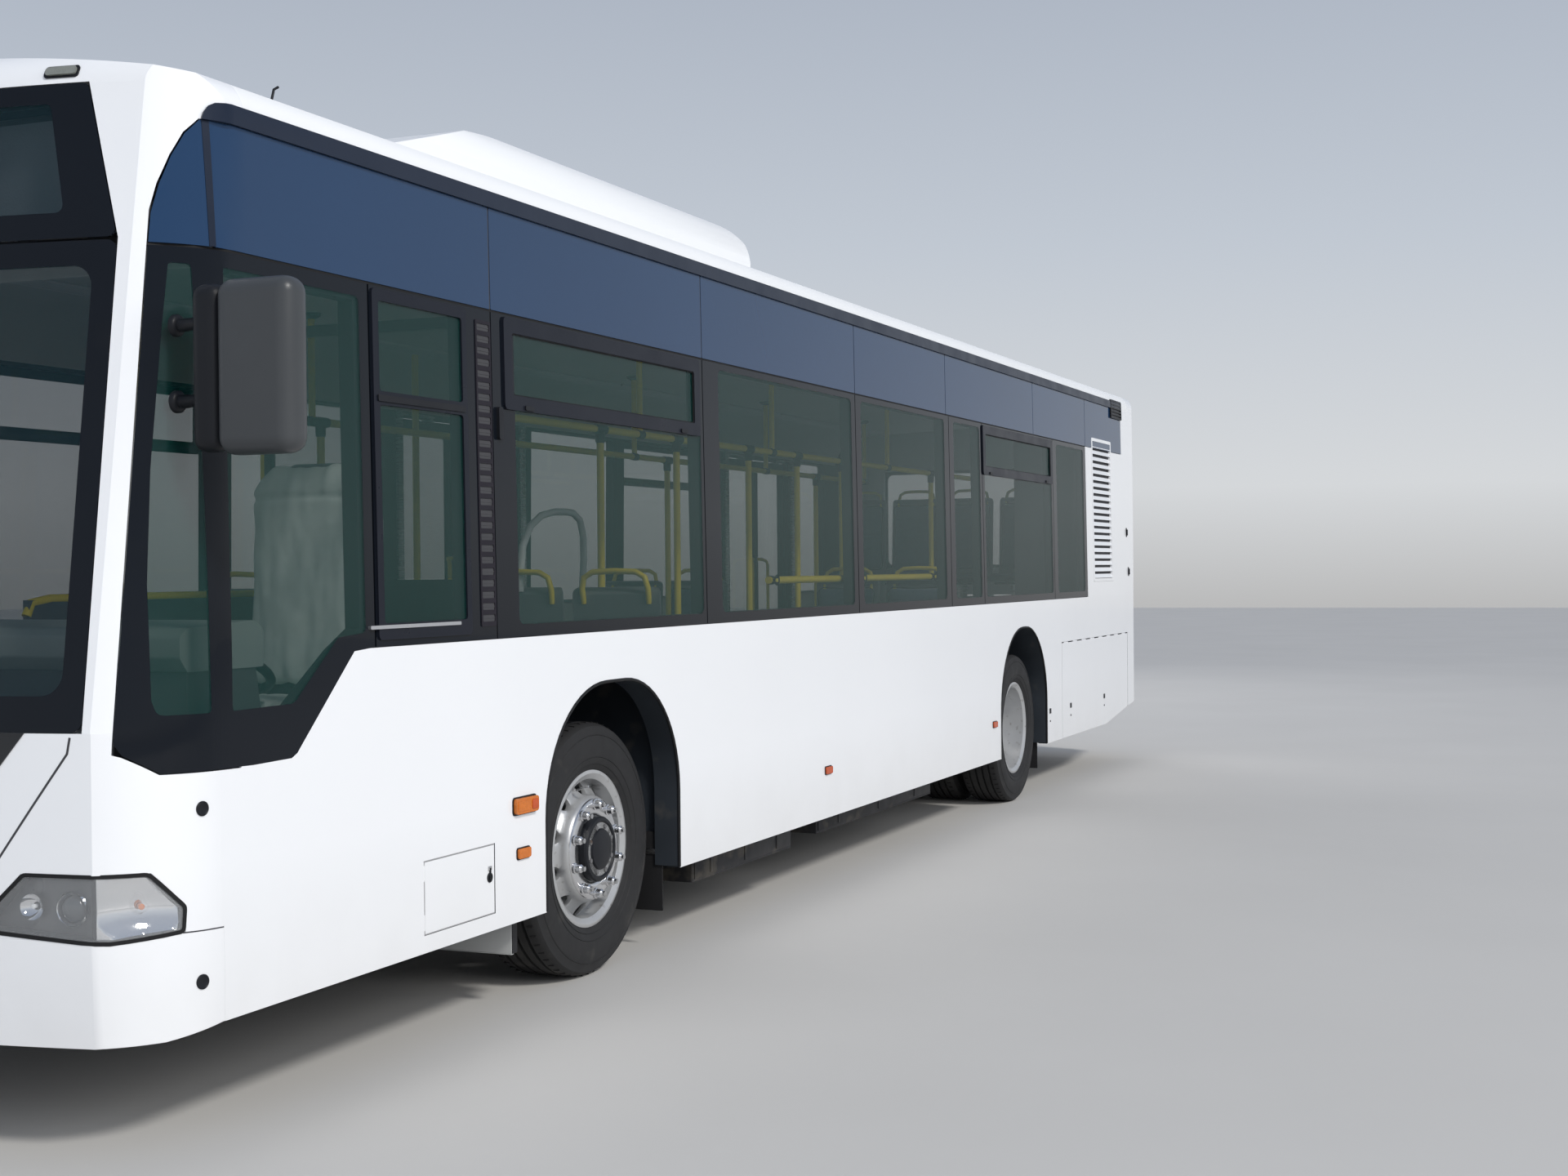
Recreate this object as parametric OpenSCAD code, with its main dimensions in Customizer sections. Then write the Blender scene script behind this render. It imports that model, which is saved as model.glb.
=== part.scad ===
// Low-floor airport passenger bus, 12 m, left-hand drive.
// Millimetres. +X forward, +Y to the left, +Z up. The origin is on the ground
// under the middle of the bus, between the front and rear panels.

/* [Body] */
// Overall length over the front and rear panels
body_l = 11950; // [11900:10:12000]
// Width over the side walls
body_w = 2550; // [2530:10:2550]
// Height of the roof's crown above the ground
roof_z = 2970; // [2960:5:2980]
// Thickness of side walls, roof and end panels
wall_t = 60; // [55:1:65]
// Height of the skirts' lower edge
skirt_z = 330; // [320:5:335]
// Lower edge of the side window band
belt_z = 1300; // [1295:1:1305]
// Lean of the windscreen from vertical, in degrees
rake = 7.2; // [6.5:0.1:7.5]
// Thickness of the bonded panes
glass_t = 7; // [6:0.5:8]

/* [Floor] */
// Top of the low floor above the ground
floor_z = 370; // [368:1:375]
// Top of the driver's platform
cab_z = 640; // [620:5:660]
// Top of the podium over the engine
podium_z = 1000; // [990:5:1010]

/* [Wheels] */
// Front axle, forward of the origin
axle_f = 3275; // [3270:1:3280]
// Rear axle, forward of the origin
axle_r = -2530; // [-2535:1:-2525]
// Outer radius of the tyres
tyre_r = 478; // [470:1:480]
// Width of one tyre
tyre_w = 276; // [270:1:280]
// Centre of a front wheel, from the middle
front_y = 1050; // [1045:1:1055]
// Mounting plane between the rear twin wheels, from the middle
twin_y = 917; // [914:1:920]
// Half of the distance between the centres of twin wheels
twin_gap = 157.5; // [156:0.5:160]
// Steering axis of a front wheel, from the middle
kingpin_y = 930; // [928:1:932]
// Radius of the stub axles
stub_r = 38; // [36:0.5:40]
// Bolt circle of the wheel discs
pcd = 335; // [335:1:336]

/* [Doors] */
// Middle of each double door on the right side, front to rear
door_x = [4660, 350, -3900];
// Width of one door leaf
leaf_w = 598; // [590:1:600]
// Thickness of a door leaf
leaf_t = 40; // [36:1:42]
// Lower edge of the leaves
leaf_z0 = 400; // [398:1:404]
// Upper edge of the leaves
leaf_z1 = 2350; // [2340:1:2352]
// Length of the swinging arms, post to leaf hinge
arm_l = 310; // [308:1:312]

/* [Hidden] */
$fn = 96;

hw = body_w / 2;             // half width
xf = body_l / 2;             // front-most point
xr = -body_l / 2;            // rear-most point
in_y = hw - wall_t;          // inner face of the side walls
wall_x0 = -5700;             // the side walls run from here
wall_x1 = 5470;              // to here
bump_x = 5550;               // the front bumper starts here
mask_x = 5400;               // the front brow starts here
cant_z = 2750;               // top of the side walls, foot of the roof
gut_y = hw - 22;             // half width at the foot of the roof's shoulder
gut_z = 2775;                // height of that foot
shoulder_r = 125;            // radius of the roof's shoulders
crown_r = 7400;              // radius of the roof's crown
crease_z = 1120;             // foot of the leaning windscreen
front_r = 5500;              // radius of the front in plan
front_cr = 360;              // radius of its corners
front_k = 56;                // how far the corners start behind the foremost point
brow_r = 150;                // radius from windscreen to roof
rear_cr = 200;               // radius of the rear corners
bump_z = 587;                // seam on top of the front bumper
leaf_y = -(hw - 30);         // middle plane of the closed leaves
post_y = leaf_y + 77;        // line through the door posts and leaf hinges
post_dx = leaf_w + 47;       // door post from the middle of its door
jamb_dx = post_dx - 27;      // edge of the doorway from its middle

// Panes of the left band: front end, rear end
left_panes = [[4826, 4124], [4116, 2434], [2426, 604], [596, -946], [-954, -1606],
    [-1614, -3296], [-3304, -4250]];
// Panes of the right band between the doors: front end, rear end
right_panes = [[4030, 2434], [2426, 1000], [-300, -1606], [-1614, -3250], [-4545, -5400]];
// Cover panels above both bands: front end, rear end
covers = [[5474, 4124], [4116, 2434], [2426, 604], [596, -896], [-904, -2806], [-2814, -4250],
    [-4258, -5440]];
// Clear openings in the left wall: front end, rear end
left_open = [[4780, 4290], [3970, 2460], [2270, 660], [520, -860], [-1040, -1560],
    [-1660, -3260], [-3400, -4180]];
// Clear openings in the right wall: front end, rear end
right_open = [[3960, 2500], [2340, 1160], [-460, -1540], [-1680, -3120], [-4690, -5320]];

module box(lo, hi) { translate(lo) cube(hi - lo); }
// sets an outline drawn in X and Z into the space between two planes y0 < y1
module along_y(y0, y1) { translate([0, y1, 0]) rotate([90, 0, 0]) linear_extrude(y1 - y0) children(); }
// sets an outline drawn in Y and Z into the space between two planes x0 < x1
module along_x(x0, x1) { translate([x0, 0, 0]) rotate([90, 0, 90]) linear_extrude(x1 - x0) children(); }
module both() { children(); mirror([0, 1, 0]) children(); }

// ---- outlines of the body, each set in by d ----

// cross-section, Y and Z
module section(d) intersection() {
    union() {
        polygon([[-(hw - d), 100], [hw - d, 100], [hw - d, belt_z], [gut_y - d, gut_z],
            [-(gut_y - d), gut_z], [-(hw - d), belt_z]]);
        translate([-(gut_y - shoulder_r), gut_z - 300]) square([2 * (gut_y - shoulder_r), 700]);
        for (s = [-1, 1]) translate([s * (gut_y - shoulder_r), gut_z]) circle(shoulder_r - d);
    }
    translate([0, roof_z - crown_r]) circle(crown_r - d, $fn = 720);
}

// seen from above; the front is left square here
module plan(d) {
    translate([xr + rear_cr, -(hw - d)]) square([body_l - rear_cr - front_cr - front_k, 2 * (hw - d)]);
    translate([xr + d, -(hw - rear_cr)]) square([6000, 2 * (hw - rear_cr)]);
    translate([0, -(hw - front_cr)]) square([xf + 20, 2 * (hw - front_cr)]);
    for (s = [-1, 1]) {
        translate([xf - front_k - front_cr, s * (hw - front_cr)]) circle(front_cr - d);
        translate([xr + rear_cr, s * (hw - rear_cr)]) circle(rear_cr - d);
    }
}

// The front is a body of revolution about an upright axis front_r behind the
// foremost point: plumb, then leaning from crease_z up, then round to the roof.
brow_z = roof_z - brow_r;
brow_x = front_r - (brow_z - crease_z) * tan(rake) - brow_r / cos(rake);
module front_turn(d) translate([xf - front_r, 0, 0]) rotate_extrude($fn = 720) {
    polygon([[0, 100], [front_r - d, 100], [front_r - d, crease_z - d * tan(rake / 2)],
        [brow_x + (brow_r - d) * cos(rake), brow_z + (brow_r - d) * sin(rake)], [brow_x, brow_z],
        [brow_x, 3300], [0, 3300]]);
    intersection() {
        translate([brow_x, brow_z]) circle(brow_r - d);
        translate([0, 100]) square([8000, 4000]);
    }
}

// the front end as one solid, forward of x = 4500
module front_end(d) intersection() {
    union() {
        translate([0, 0, 100]) linear_extrude(crease_z - 100) intersection() {
            plan(d);
            translate([4500, -2000]) square([3000, 4000]);
        }
        intersection() {
            box([4500, -2000, crease_z], [7000, 2000, 3200]);
            translate([xf, 0, crease_z]) rotate([0, -rake, 0]) translate([-xf, 0, -500])
                linear_extrude(3200) intersection() {
                    plan(d);
                    translate([4000, -2000]) square([4000, 4000]);
                }
        }
    }
    along_x(4500, 6500) section(d);
    front_turn(d);
}
module front_shell(t) difference() { front_end(0); front_end(t); }

// the rear end as one solid, behind x = -5000
module rear_end(d) intersection() {
    translate([0, 0, 100]) linear_extrude(3100) intersection() {
        plan(d);
        translate([-8000, -2000]) square([3000, 4000]);
    }
    along_x(-6500, -4500) section(d);
    along_y(-1500, 1500) union() {
        translate([xr + 130, 0]) square([3000, 3200]);
        translate([xr - 500, 0]) square([1000, roof_z - 130]);
        translate([xr + 130, roof_z - 130]) circle(130 - d);
    }
}

// ---- outlines of openings ----

// rounded arch over a wheel, X and Z: middle, half width, top, half of the flat at the top
module arch(x, w, top, e) {
    translate([x - w, 0]) square([2 * w, top - w + e]);
    translate([x - e, 0]) square([2 * e, top]);
    for (d = [-e, e]) translate([x + d, top - w + e]) circle(w - e);
}
module front_arch() arch(3260, 545, 1117, 78);
module rear_arch() arch(-2500, 557, 1137, 40);

// glass beside the driver, X and Z; corner_side() ends it at the pillar
module quarter() polygon([[4834, belt_z + 2], [4940, belt_z - 6], [5204, 1036], [5222, 1018], [5248, 1006], [5420, 1003],
    [5740, 1010], [5814, 1060], [6000, 1150], [6000, 2396], [4834, 2396]]);
module quarter_open() polygon([[4900, 1360], [5010, 1300], [5310, 1090], [5440, 1070],
    [5690, 1070], [5750, 1120], [5745, 1500], [5680, 2340], [4900, 2340]]);
// cover panel above it, with the arched front edge
module quarter_cover() polygon([[5480, 2404], [5800, 2404], [5674, 2417], [5659, 2483], [5639, 2561],
    [5611, 2640], [5580, 2703], [5545, 2744], [5480, 2744]]);
// space to the side of the left front pillar, set back by g from the pillar's edge
module corner_side(g) translate([5829, 1152, 1085]) rotate([0, -6.6, 0]) rotate([0, 0, 35])
    translate([-3000, g, -1200]) cube([4000, 1000, 4000]);
// windscreen, Y and Z
module screen(g) polygon([[-1082 + g, 1122 + g], [-930, 1122 + g], [-850, 1030 + g], [-760, 962 + g],
    [760, 962 + g], [850, 1030 + g], [930, 1122 + g], [1082 - g, 1122 + g], [1074 - g, 2412 - g],
    [-1074 + g, 2412 - g]]);
// destination glass over it
module sign_glass(g) polygon([[-1072 + g, 2420 + g], [1072 - g, 2420 + g], [955 - g, 2842 - g],
    [-955 + g, 2842 - g]]);
// headlamp: side view and front view
module lamp_side(g) polygon([[5683 - g, 592 - g], [5679 - g, 657], [5765 - g, 751 + g], [6100, 757 + g],
    [6100, 570 - g], [5837, 578 - g]]);
module lamp_front(g) polygon([[765 - g, 603 - g], [849 - g, 692 + g], [914 - g, 756 + g], [1290, 756 + g],
    [1290, 570 - g], [1078, 582 - g], [847, 600 - g]]);
module lamp_volume(g) intersection() {
    both() along_x(5500, 6300) lamp_front(g);
    along_y(-1400, 1400) lamp_side(g);
}

// ---- body ----

// a plain side wall on the left, with the recess that the glass sits in
module side_wall_blank(front_x) difference() {
    along_x(wall_x0, front_x) intersection() {
        difference() { section(0); section(wall_t); }
        translate([500, skirt_z]) square([1000, cant_z - skirt_z]);
    }
    along_x(-4258, wall_x1 + 5) intersection() {
        difference() { section(-20); section(glass_t + 1); }
        translate([500, belt_z]) square([1000, 2800 - belt_z]);
    }
    along_x(-5445, -4250) intersection() {
        difference() { section(-20); section(glass_t + 1); }
        translate([500, 2400]) square([1000, 2800]);
    }
    along_y(hw - glass_t - 1, 1400) intersection() { quarter(); square([wall_x1 + 5, 1302]); }
    along_y(1000, 1400) {
        front_arch();
        rear_arch();
        polygon([[-4820, 0], [-4820, skirt_z], [-5710, 432], [-5710, 0]]);
    }
}
module side_holes(list) for (o = list) box([o[1], 1000, 1345], [o[0], 1400, 2370]);

module left_side_wall() color("white") difference() {
    side_wall_blank(wall_x1);
    side_holes(left_open);
    along_y(1000, 1400) intersection() { quarter_open(); square([wall_x1 + 5, 3000]); }
    box([4150, 1000, 385], [4582, 1400, 620]);
    along_y(1000, 1400) polygon([[-3470, 0], [-3470, 1000], [-5560, 1000], [-5560, 0]]);
    // louvred field in front of the radiator
    along_x(-5080, -4450) intersection() {
        difference() { section(-20); section(18); }
        translate([500, 1410]) square([1000, 1070]);
    }
}

module right_side_wall() color("white") difference() {
    mirror([0, 1, 0]) side_wall_blank(wall_x1);
    mirror([0, 1, 0]) side_holes(right_open);
    mirror([0, 1, 0]) along_x(-5405, -4200) intersection() {
        difference() { section(-20); section(glass_t + 1); }
        translate([500, belt_z]) square([1000, 2800 - belt_z]);
    }
    for (x = door_x) box([x - jamb_dx, -1400, leaf_z0 - 5], [x + jamb_dx, -1000, leaf_z1 + 6]);
    along_y(-1400, -1000) intersection() { quarter_open(); translate([5340, 0]) square([225, 3000]); }
}

module roof_shell() color("white") along_x(wall_x0, mask_x) intersection() {
    difference() { section(0); section(wall_t); }
    translate([-1500, cant_z]) square([3000, 600]);
}

module front_mask() color("white") difference() {
    front_shell(wall_t);
    box([4000, -1500, 0], [wall_x1, 1500, cant_z]);
    box([4000, -1500, 0], [mask_x, 1500, 3200]);
    box([bump_x, -1500, 0], [6500, 1500, bump_z]);
    box([4000, -1500, 0], [6500, 1500, skirt_z]);
    // the bonded panes fill these openings
    along_x(5500, 6300) polygon([[-1085, crease_z], [1085, crease_z], [1077, 2416], [959, 2845],
        [-959, 2845], [-1077, 2416]]);
    both() intersection() {
        along_y(1000, 1400) polygon([[5300, 1001], [5420, 999.5], [5741, 1006], [5816, 1056], [6000, 1140], [6000, 2400],
            [5678, 2418], [5663, 2485], [5643, 2563], [5614, 2642], [5583, 2706], [5547, 2747], [5300, 2747]]);
        corner_side(-3);
    }
    lamp_volume(3);
}

module front_bumper() color("white") difference() {
    union() {
        intersection() {
            front_shell(wall_t);
            box([bump_x, -1500, skirt_z - 20], [6500, 1500, bump_z]);
        }
        translate([xf - 120, -450, 470]) rotate([0, 90, 0]) cylinder(r = 34, h = 80);
    }
    lamp_volume(3);
    // flat seat of the number plate
    box([xf - 12, -270, 395], [xf + 20, 270, 515]);
    // the lower edge rises to the skirts
    along_y(-1500, 1500) polygon([[5500, 0], [5500, skirt_z], [5560, skirt_z], [5740, skirt_z - 21], [5740, 0]]);
    // towing socket
    translate([xf - 200, -450, 470]) rotate([0, 90, 0]) cylinder(r = 14, h = 400);
}

module rear_body() color("white") difference() {
    union() {
        difference() {
            rear_end(0);
            rear_end(wall_t);
            box([wall_x0, -1500, 0], [-4000, 1500, 3200]);
            box([-6500, -1500, 0], [-5000, 1500, 400]);
        }
        translate([xr + 20, 0, 480]) rotate([0, 90, 0]) cylinder(r = 50, h = 100);
    }
    along_x(-6500, -5800) translate([-720, 540]) square([1440, 755]);
    along_x(-6500, -5800) translate([-890, 1520]) square([1780, 820]);
    box([xr - 20, -952, 1468], [xr + glass_t + 1, 952, 2392]);
    // ridge under the rear corners rises to the rear
    along_y(-1500, 1500) polygon([[-5600, 0], [-5600, 418], [-6100, 476], [-6100, 0]]);
    // seat of the number plate, towing socket
    box([xr - 20, -270, 1320], [xr + 12, 270, 1440]);
    translate([xr - 100, 0, 480]) rotate([0, 90, 0]) cylinder(r = 25, h = 300);
    for (s = [-1, 1], z = [700, 830, 960, 1090]) tail_hole(s, z, 47);
}
module tail_hole(s, z, r) translate([-6100, s * 1020, z]) rotate([0, 90, 0]) cylinder(r = r, h = 175);

// The floor and the boxes on it are built up from plates with joints of this width
joint = 0.5;
module floor() color("dimgray") {
    box([3885 + joint, -in_y, 331], [5540, 160 - joint, floor_z]);
    box([2680, -480 + joint, 331], [3885, 480 - joint, floor_z]);
    box([-1840 + joint, -in_y, 331], [2680 - joint, in_y, floor_z]);
    box([-3110, -540 + joint, 331], [-1840, 540 - joint, floor_z]);
    box([-4330 + joint, -in_y, 331], [-3110 - joint, in_y, floor_z]);
    box([-4540 + joint, -in_y, 331], [-4330, 700 - joint, floor_z]);
    box([-4780 + joint, -in_y, 331], [-4540, -500 - joint, floor_z]);
    box([-4780 + joint, 500 + joint, 331], [-4540, 700 - joint, floor_z]);
}

// a box without bottom and outer side over a wheel, from x0 to x1, y0 and the top z1
module housing(x0, x1, y0, z1, t) {
    box([x0, y0, z1 - t], [x1, in_y, z1]);
    box([x0, y0, 331], [x0 + t, in_y, z1 - t - joint]);
    box([x1 - t, y0, 331], [x1, in_y, z1 - t - joint]);
    box([x0 + t + joint, y0, 331], [x1 - t - joint, y0 + t, z1 - t - joint]);
}
module floor_boxes() color("dimgray") {
    both() housing(2680, 3885, 480, 1165, 20);
    both() housing(-3110, -1840, 540, 1185, 20);
    // driver's platform
    box([3885 + joint, 160, cab_z - 20], [5540, in_y, cab_z]);
    box([3885 + joint, 160, 331], [3905, in_y, cab_z - 20 - joint]);
    box([3905 + joint, 160, 331], [5540, 180, cab_z - 20 - joint]);
    box([3905 + joint, in_y - 20, 331], [5540, in_y, cab_z - 20 - joint]);
    box([5520, 180 + joint, 331], [5540, in_y - 20 - joint, cab_z - 20 - joint]);
    // podium over the engine
    box([-5620, -in_y, podium_z - 20], [-4780, in_y, podium_z]);
    box([-4800, -in_y, 331], [-4780, in_y, podium_z - 20 - joint]);
    box([-5620, -in_y, 331], [-4800 - joint, -in_y + 20, podium_z - 20 - joint]);
    // step up to it
    box([-4780 + joint, -500, 665], [-4540, 500, 685]);
    box([-4560, -500, 331], [-4540, 500, 665 - joint]);
    for (s = [-1, 1]) box([-4780 + joint, min(s * 480, s * 500), 331], [-4560 - joint, max(s * 480, s * 500), 665 - joint]);
    // radiator tower behind the left windows
    box([-4350, 700, 331], [-4330, 1190, 2600]);
    box([-4780 + joint, 700, 331], [-4350 - joint, 720, podium_z]);
    box([-5620, 700, podium_z + joint], [-4350 - joint, 720, 2600]);
    box([-5620, 720 + joint, podium_z + joint], [-5600, 1190, 2580 - joint]);
    box([-5620, 720 + joint, 2580], [-4350 - joint, 1190, 2600]);
}

module windows() {
    color("darkslategray") {
        for (p = left_panes) pane(p);
        mirror([0, 1, 0]) for (p = right_panes) pane(p);
        for (p = covers) cover(p);
        mirror([0, 1, 0]) for (p = covers) cover(p);
        quarter_panes();
        mirror([0, 1, 0]) quarter_panes(5290);
        box([xr, -950, 1470], [xr + glass_t, 950, 2390]);
    }
}
module pane(p) along_x(p[1], p[0]) intersection() {
    difference() { section(0); section(glass_t); }
    translate([500, belt_z + 2]) square([1000, 1094]);
}
module cover(p) along_x(p[1], p[0]) intersection() {
    difference() { section(0); section(glass_t); }
    translate([500, 2404]) square([1000, 340]);
}
// the driver's side glass, below and above the crease, and the cover over it
module quarter_panes(from_x = 4000) for (z = [[1000, crease_z - 1], [crease_z + 1, 3000]]) intersection() {
    difference() {
        front_end(0);
        front_end(glass_t);
    }
    along_y(1000, 1400) intersection() {
        union() { quarter(); quarter_cover(); }
        translate([from_x, z[0]]) square([3000, z[1] - z[0]]);
    }
    corner_side(0);
}

module windscreen() color("darkslategray") for (s = [-1, 1], p = [0, 1]) intersection() {
    difference() { front_turn(0); front_turn(glass_t); }
    along_x(5300, 6300) intersection() {
        if (p == 0) screen(0); else sign_glass(0);
        // left and right halves, clear of the crease
        translate([s > 0 ? 2 : -1502, crease_z + 2]) square([1500, 2000]);
    }
}

module lamps() {
    color("gainsboro") intersection() { front_shell(wall_t - 12); lamp_volume(0); }
    color("firebrick") for (s = [-1, 1], z = [700, 830, 960, 1090])
        translate([xr + 3, s * 1020, z]) rotate([0, 90, 0]) cylinder(r = 45, h = 45);
}

module mirrors() color("dimgray") both() {
    // arm from the front pillar
    translate([5660, 1225, 2180]) rotate([-90, 0, 0]) cylinder(r = 16, h = 180);
    translate([5660, 1225, 1980]) rotate([-90, 0, 0]) cylinder(r = 16, h = 180);
    // rounded housing
    along_x(5630, 5735) {
        translate([1390 + 50, 1830]) square([140, 440]);
        translate([1390, 1830 + 50]) square([240, 340]);
        for (y = [1440, 1580], z = [1880, 2220]) translate([y, z]) circle(50);
    }
}

module roof_unit() color("white") difference() {
    intersection() {
        along_y(-950, 950) polygon([[4250, 2800], [4250, 2960], [3700, 3120], [3300, 3165], [1500, 3165],
            [1330, 3140], [1230, 3080], [1190, 2990], [1190, 2800]]);
        along_x(1000, 4400) {
            translate([-800, 2800]) square([1600, 365]);
            translate([-950, 2800]) square([1900, 215]);
            for (s = [-1, 1]) translate([s * 800, 3015]) circle(150);
        }
    }
    along_x(900, 4500) section(-0.3);
}

// ---- chassis ----

module underframe() color("dimgray") {
    for (s = [-1, 1]) {
        // longitudinal rails, front, middle and rear
        for (p = [[3500, 5480], [-2250, 3040], [-5600, -2820]])
            box([p[0], s * 380 - 30, 275], [p[1], s * 380 + 30, 331]);
    }
    // boxes hung under the skirts: front end, rear end, inner and outer edge, bottom
    for (b = [[3880, 3845, 770, 1180, 190], [2400, 1300, 700, 1180, 215], [2300, 1500, -1160, -760, 215],
            [900, -900, 760, 1150, 225]])
        box([b[1], b[2], b[4]], [b[0], b[3], 331]);
    // jacking pads
    for (x = [2200, -1600, 4300], s = [-1, 1]) box([x - 60, s * 560 - 60, 250], [x + 60, s * 560 + 60, 331]);
}

module engine() color("gray") box([-5640, -560, 440], [-4860, 440, 950]);

module axles() color("darkgray") {
    both() {
        difference() {
            union() {
                along_x(axle_f - 55, axle_f + 55) polygon([[-1, 165], [520, 165], [kingpin_y - 110, 376],
                    [kingpin_y - 60, 408], [kingpin_y - 30, 548], [kingpin_y - 90, 548], [480, 268], [-1, 268]]);
                translate([axle_f, kingpin_y, 408]) cylinder(r = 50, h = 140);
            }
            translate([axle_f, kingpin_y, 300]) cylinder(r = 22.4, h = 400);
        }
        box([axle_r - 80, -1, 195], [axle_r + 80, 640, 290]);
        box([axle_r - 78, 600, 250], [axle_r + 78, 716, 560]);
        translate([axle_r, 700, tyre_r]) rotate([-90, 0, 0]) cylinder(r = 45, h = 271);
    }
    // final drive
    translate([axle_r, -70, 240]) rotate([-90, 0, 0]) cylinder(r = 85, h = 200);
}

// left knuckle: fork round the kingpin, stub axle, steering arm and caliper
module knuckle() {
    translate([axle_f, kingpin_y, 0]) {
        translate([0, 0, 350]) cylinder(r = 22, h = 240);
        for (z = [[350, 400], [556, 590]]) {
            translate([0, 0, z[0]]) cylinder(r = 48, h = z[1] - z[0]);
            box([-45, 0, z[0]], [45, 95, z[1]]);
        }
        box([-45, 58, 350], [45, 97, 590]);
        translate([0, 90, tyre_r]) rotate([-90, 0, 0]) cylinder(r = stub_r, h = 100);
        box([-230, -45, 350], [0, -5, 368]);
        box([-80, 58, 588], [80, 97, 700]);
    }
}
module knuckle_left() color("darkgray") knuckle();
module knuckle_right() color("darkgray") mirror([0, 1, 0]) knuckle();

// tyre outline: radius and distance from the tyre's middle
tyre_outline = [[286.3, -104.5], [297, -104.5], [300, -118], [330, -131], [375, -138], [420, -134], [450, -126], [466, -116],
    [478, -96], [478, 96], [466, 116], [450, 126], [420, 134], [375, 138], [330, 131], [300, 118], [297, 104.5], [286.3, 104.5]];
module tyre(x, y) translate([x, y, tyre_r]) rotate([-90, 0, 0])
    rotate_extrude() polygon([for (p = tyre_outline) [p[0] * tyre_r / 478 + (p[0] < 290 ? 0.3 : 0), p[1] * tyre_w / 276]]);

// rim: barrel with flanges and a dished disc; f is the mounting face's distance
// outward from the rim's middle, c where the dish meets the barrel
module rim(x, y, f, c, hub) translate([x, y, tyre_r]) rotate([-90, 0, 0]) difference() {
    union() {
        rotate_extrude() polygon([[262, -105], [296, -105], [296, -117], [283, -119], [274, -112], [272, -108],
            [262, -106]]);
        rotate_extrude() polygon([[262, -106], [286, -106], [286, 106], [262, 106]]);
        rotate_extrude() polygon([[262, 105], [296, 105], [296, 117], [283, 119], [274, 112], [262, 106]]);
        rotate_extrude() polygon([[60, f - 12], [184, f - 12], [197, f - 50], [263, c - 14], [263, c], [206, f - 38], [197, f - 8],
            [190, f], [60, f]]);
        if (hub > 0) {
            translate([0, 0, -12]) cylinder(r = 215, h = 40);
            translate([0, 0, 20]) cylinder(r = 110, h = f + 10);
        }
    }
    for (i = [0:9]) rotate([0, 0, 36 * i + 18]) translate([232, 0, -50]) cylinder(r = 31, h = 400);
    for (i = [0:9]) rotate([0, 0, 36 * i]) translate([pcd / 2, 0, 30]) cylinder(r = 13, h = 400);
    translate([0, 0, -200]) cylinder(r = stub_r + 0.1, h = 275);
}
module front_left_tyre() color("black") tyre(axle_f, front_y);
module front_right_tyre() color("black") mirror([0, 1, 0]) tyre(axle_f, front_y);
module front_left_rim() color("silver") rim(axle_f, front_y, 130, 44, 1);
module front_right_rim() color("silver") mirror([0, 1, 0]) rim(axle_f, front_y, 130, 44, 1);
module rear_tyres() { tyre(axle_r, twin_y + twin_gap); tyre(axle_r, twin_y - twin_gap); }
module rear_rims() difference() {
    union() {
        twin_rim(1);
        translate([0, 2 * twin_y, 0]) mirror([0, 1, 0]) twin_rim(0);
        translate([axle_r, twin_y - 60, tyre_r]) rotate([-90, 0, 0]) cylinder(r = 108, h = 140);
    }
    translate([axle_r, 600, tyre_r]) rotate([-90, 0, 0]) cylinder(r = 45.1, h = twin_y - 600 + 62);
    for (i = [0:9]) translate([axle_r, twin_y - 200, tyre_r]) rotate([-90, 0, 0]) rotate([0, 0, 36 * i + 18])
        translate([229, 0, 0]) cylinder(r = 26, h = 400);
}
module twin_rim(outer) translate([axle_r, twin_y + twin_gap, tyre_r]) rotate([-90, 0, 0]) {
    rotate_extrude() polygon([[262, -105], [296, -105], [296, -117], [283, -119], [274, -112], [262, -106]]);
    rotate_extrude() polygon([[262, -106], [286, -106], [286, 106], [262, 106]]);
    rotate_extrude() polygon([[262, 105], [296, 105], [296, 117], [283, 119], [274, 112], [262, 106]]);
    rotate_extrude() polygon([[60, -twin_gap], [200, -twin_gap], [263, -50], [263, -36], [196, -twin_gap + 12],
        [60, -twin_gap + 12]]);
}
module rear_left_tyres() color("black") rear_tyres();
module rear_right_tyres() color("black") mirror([0, 1, 0]) rear_tyres();
module rear_left_rims() color("silver") rear_rims();
module rear_right_rims() color("silver") mirror([0, 1, 0]) rear_rims();

// ---- inside ----

wheel_tilt = 25;             // lean of the steering column
wheel_at = [4940, 700, 1250]; // middle of the steering wheel
module driver_cab() color("darkslategray") {
    // desk
    difference() {
        along_y(60, 1150) polygon([[5150, cab_z], [5150, 1020], [5215, 1110], [5240, 1250], [5240, 1365], [5270, 1385],
            [5540, 1370], [5540, cab_z]]);
        box([5100, 380, cab_z - 1], [5330, 1020, 960]);
    }
    // steering column on its pedestal
    translate(wheel_at) rotate([0, -wheel_tilt, 0]) translate([0, 0, -500]) cylinder(r = 32, h = 475);
    box([5085, 640, cab_z], [5200, 760, 850]);
    // partition behind the driver and the gate beside the driver
    box([3890, 180, cab_z], [3920, 1190, 1500]);
    box([3890, 180, 1500], [3920, 210, 2380]);
    box([3890, 1160, 1500], [3920, 1190, 2380]);
    box([3890, 180, 2380], [3920, 1190, 2420]);
    box([3925, 165, cab_z], [5100, 190, 1450]);
}
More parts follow.
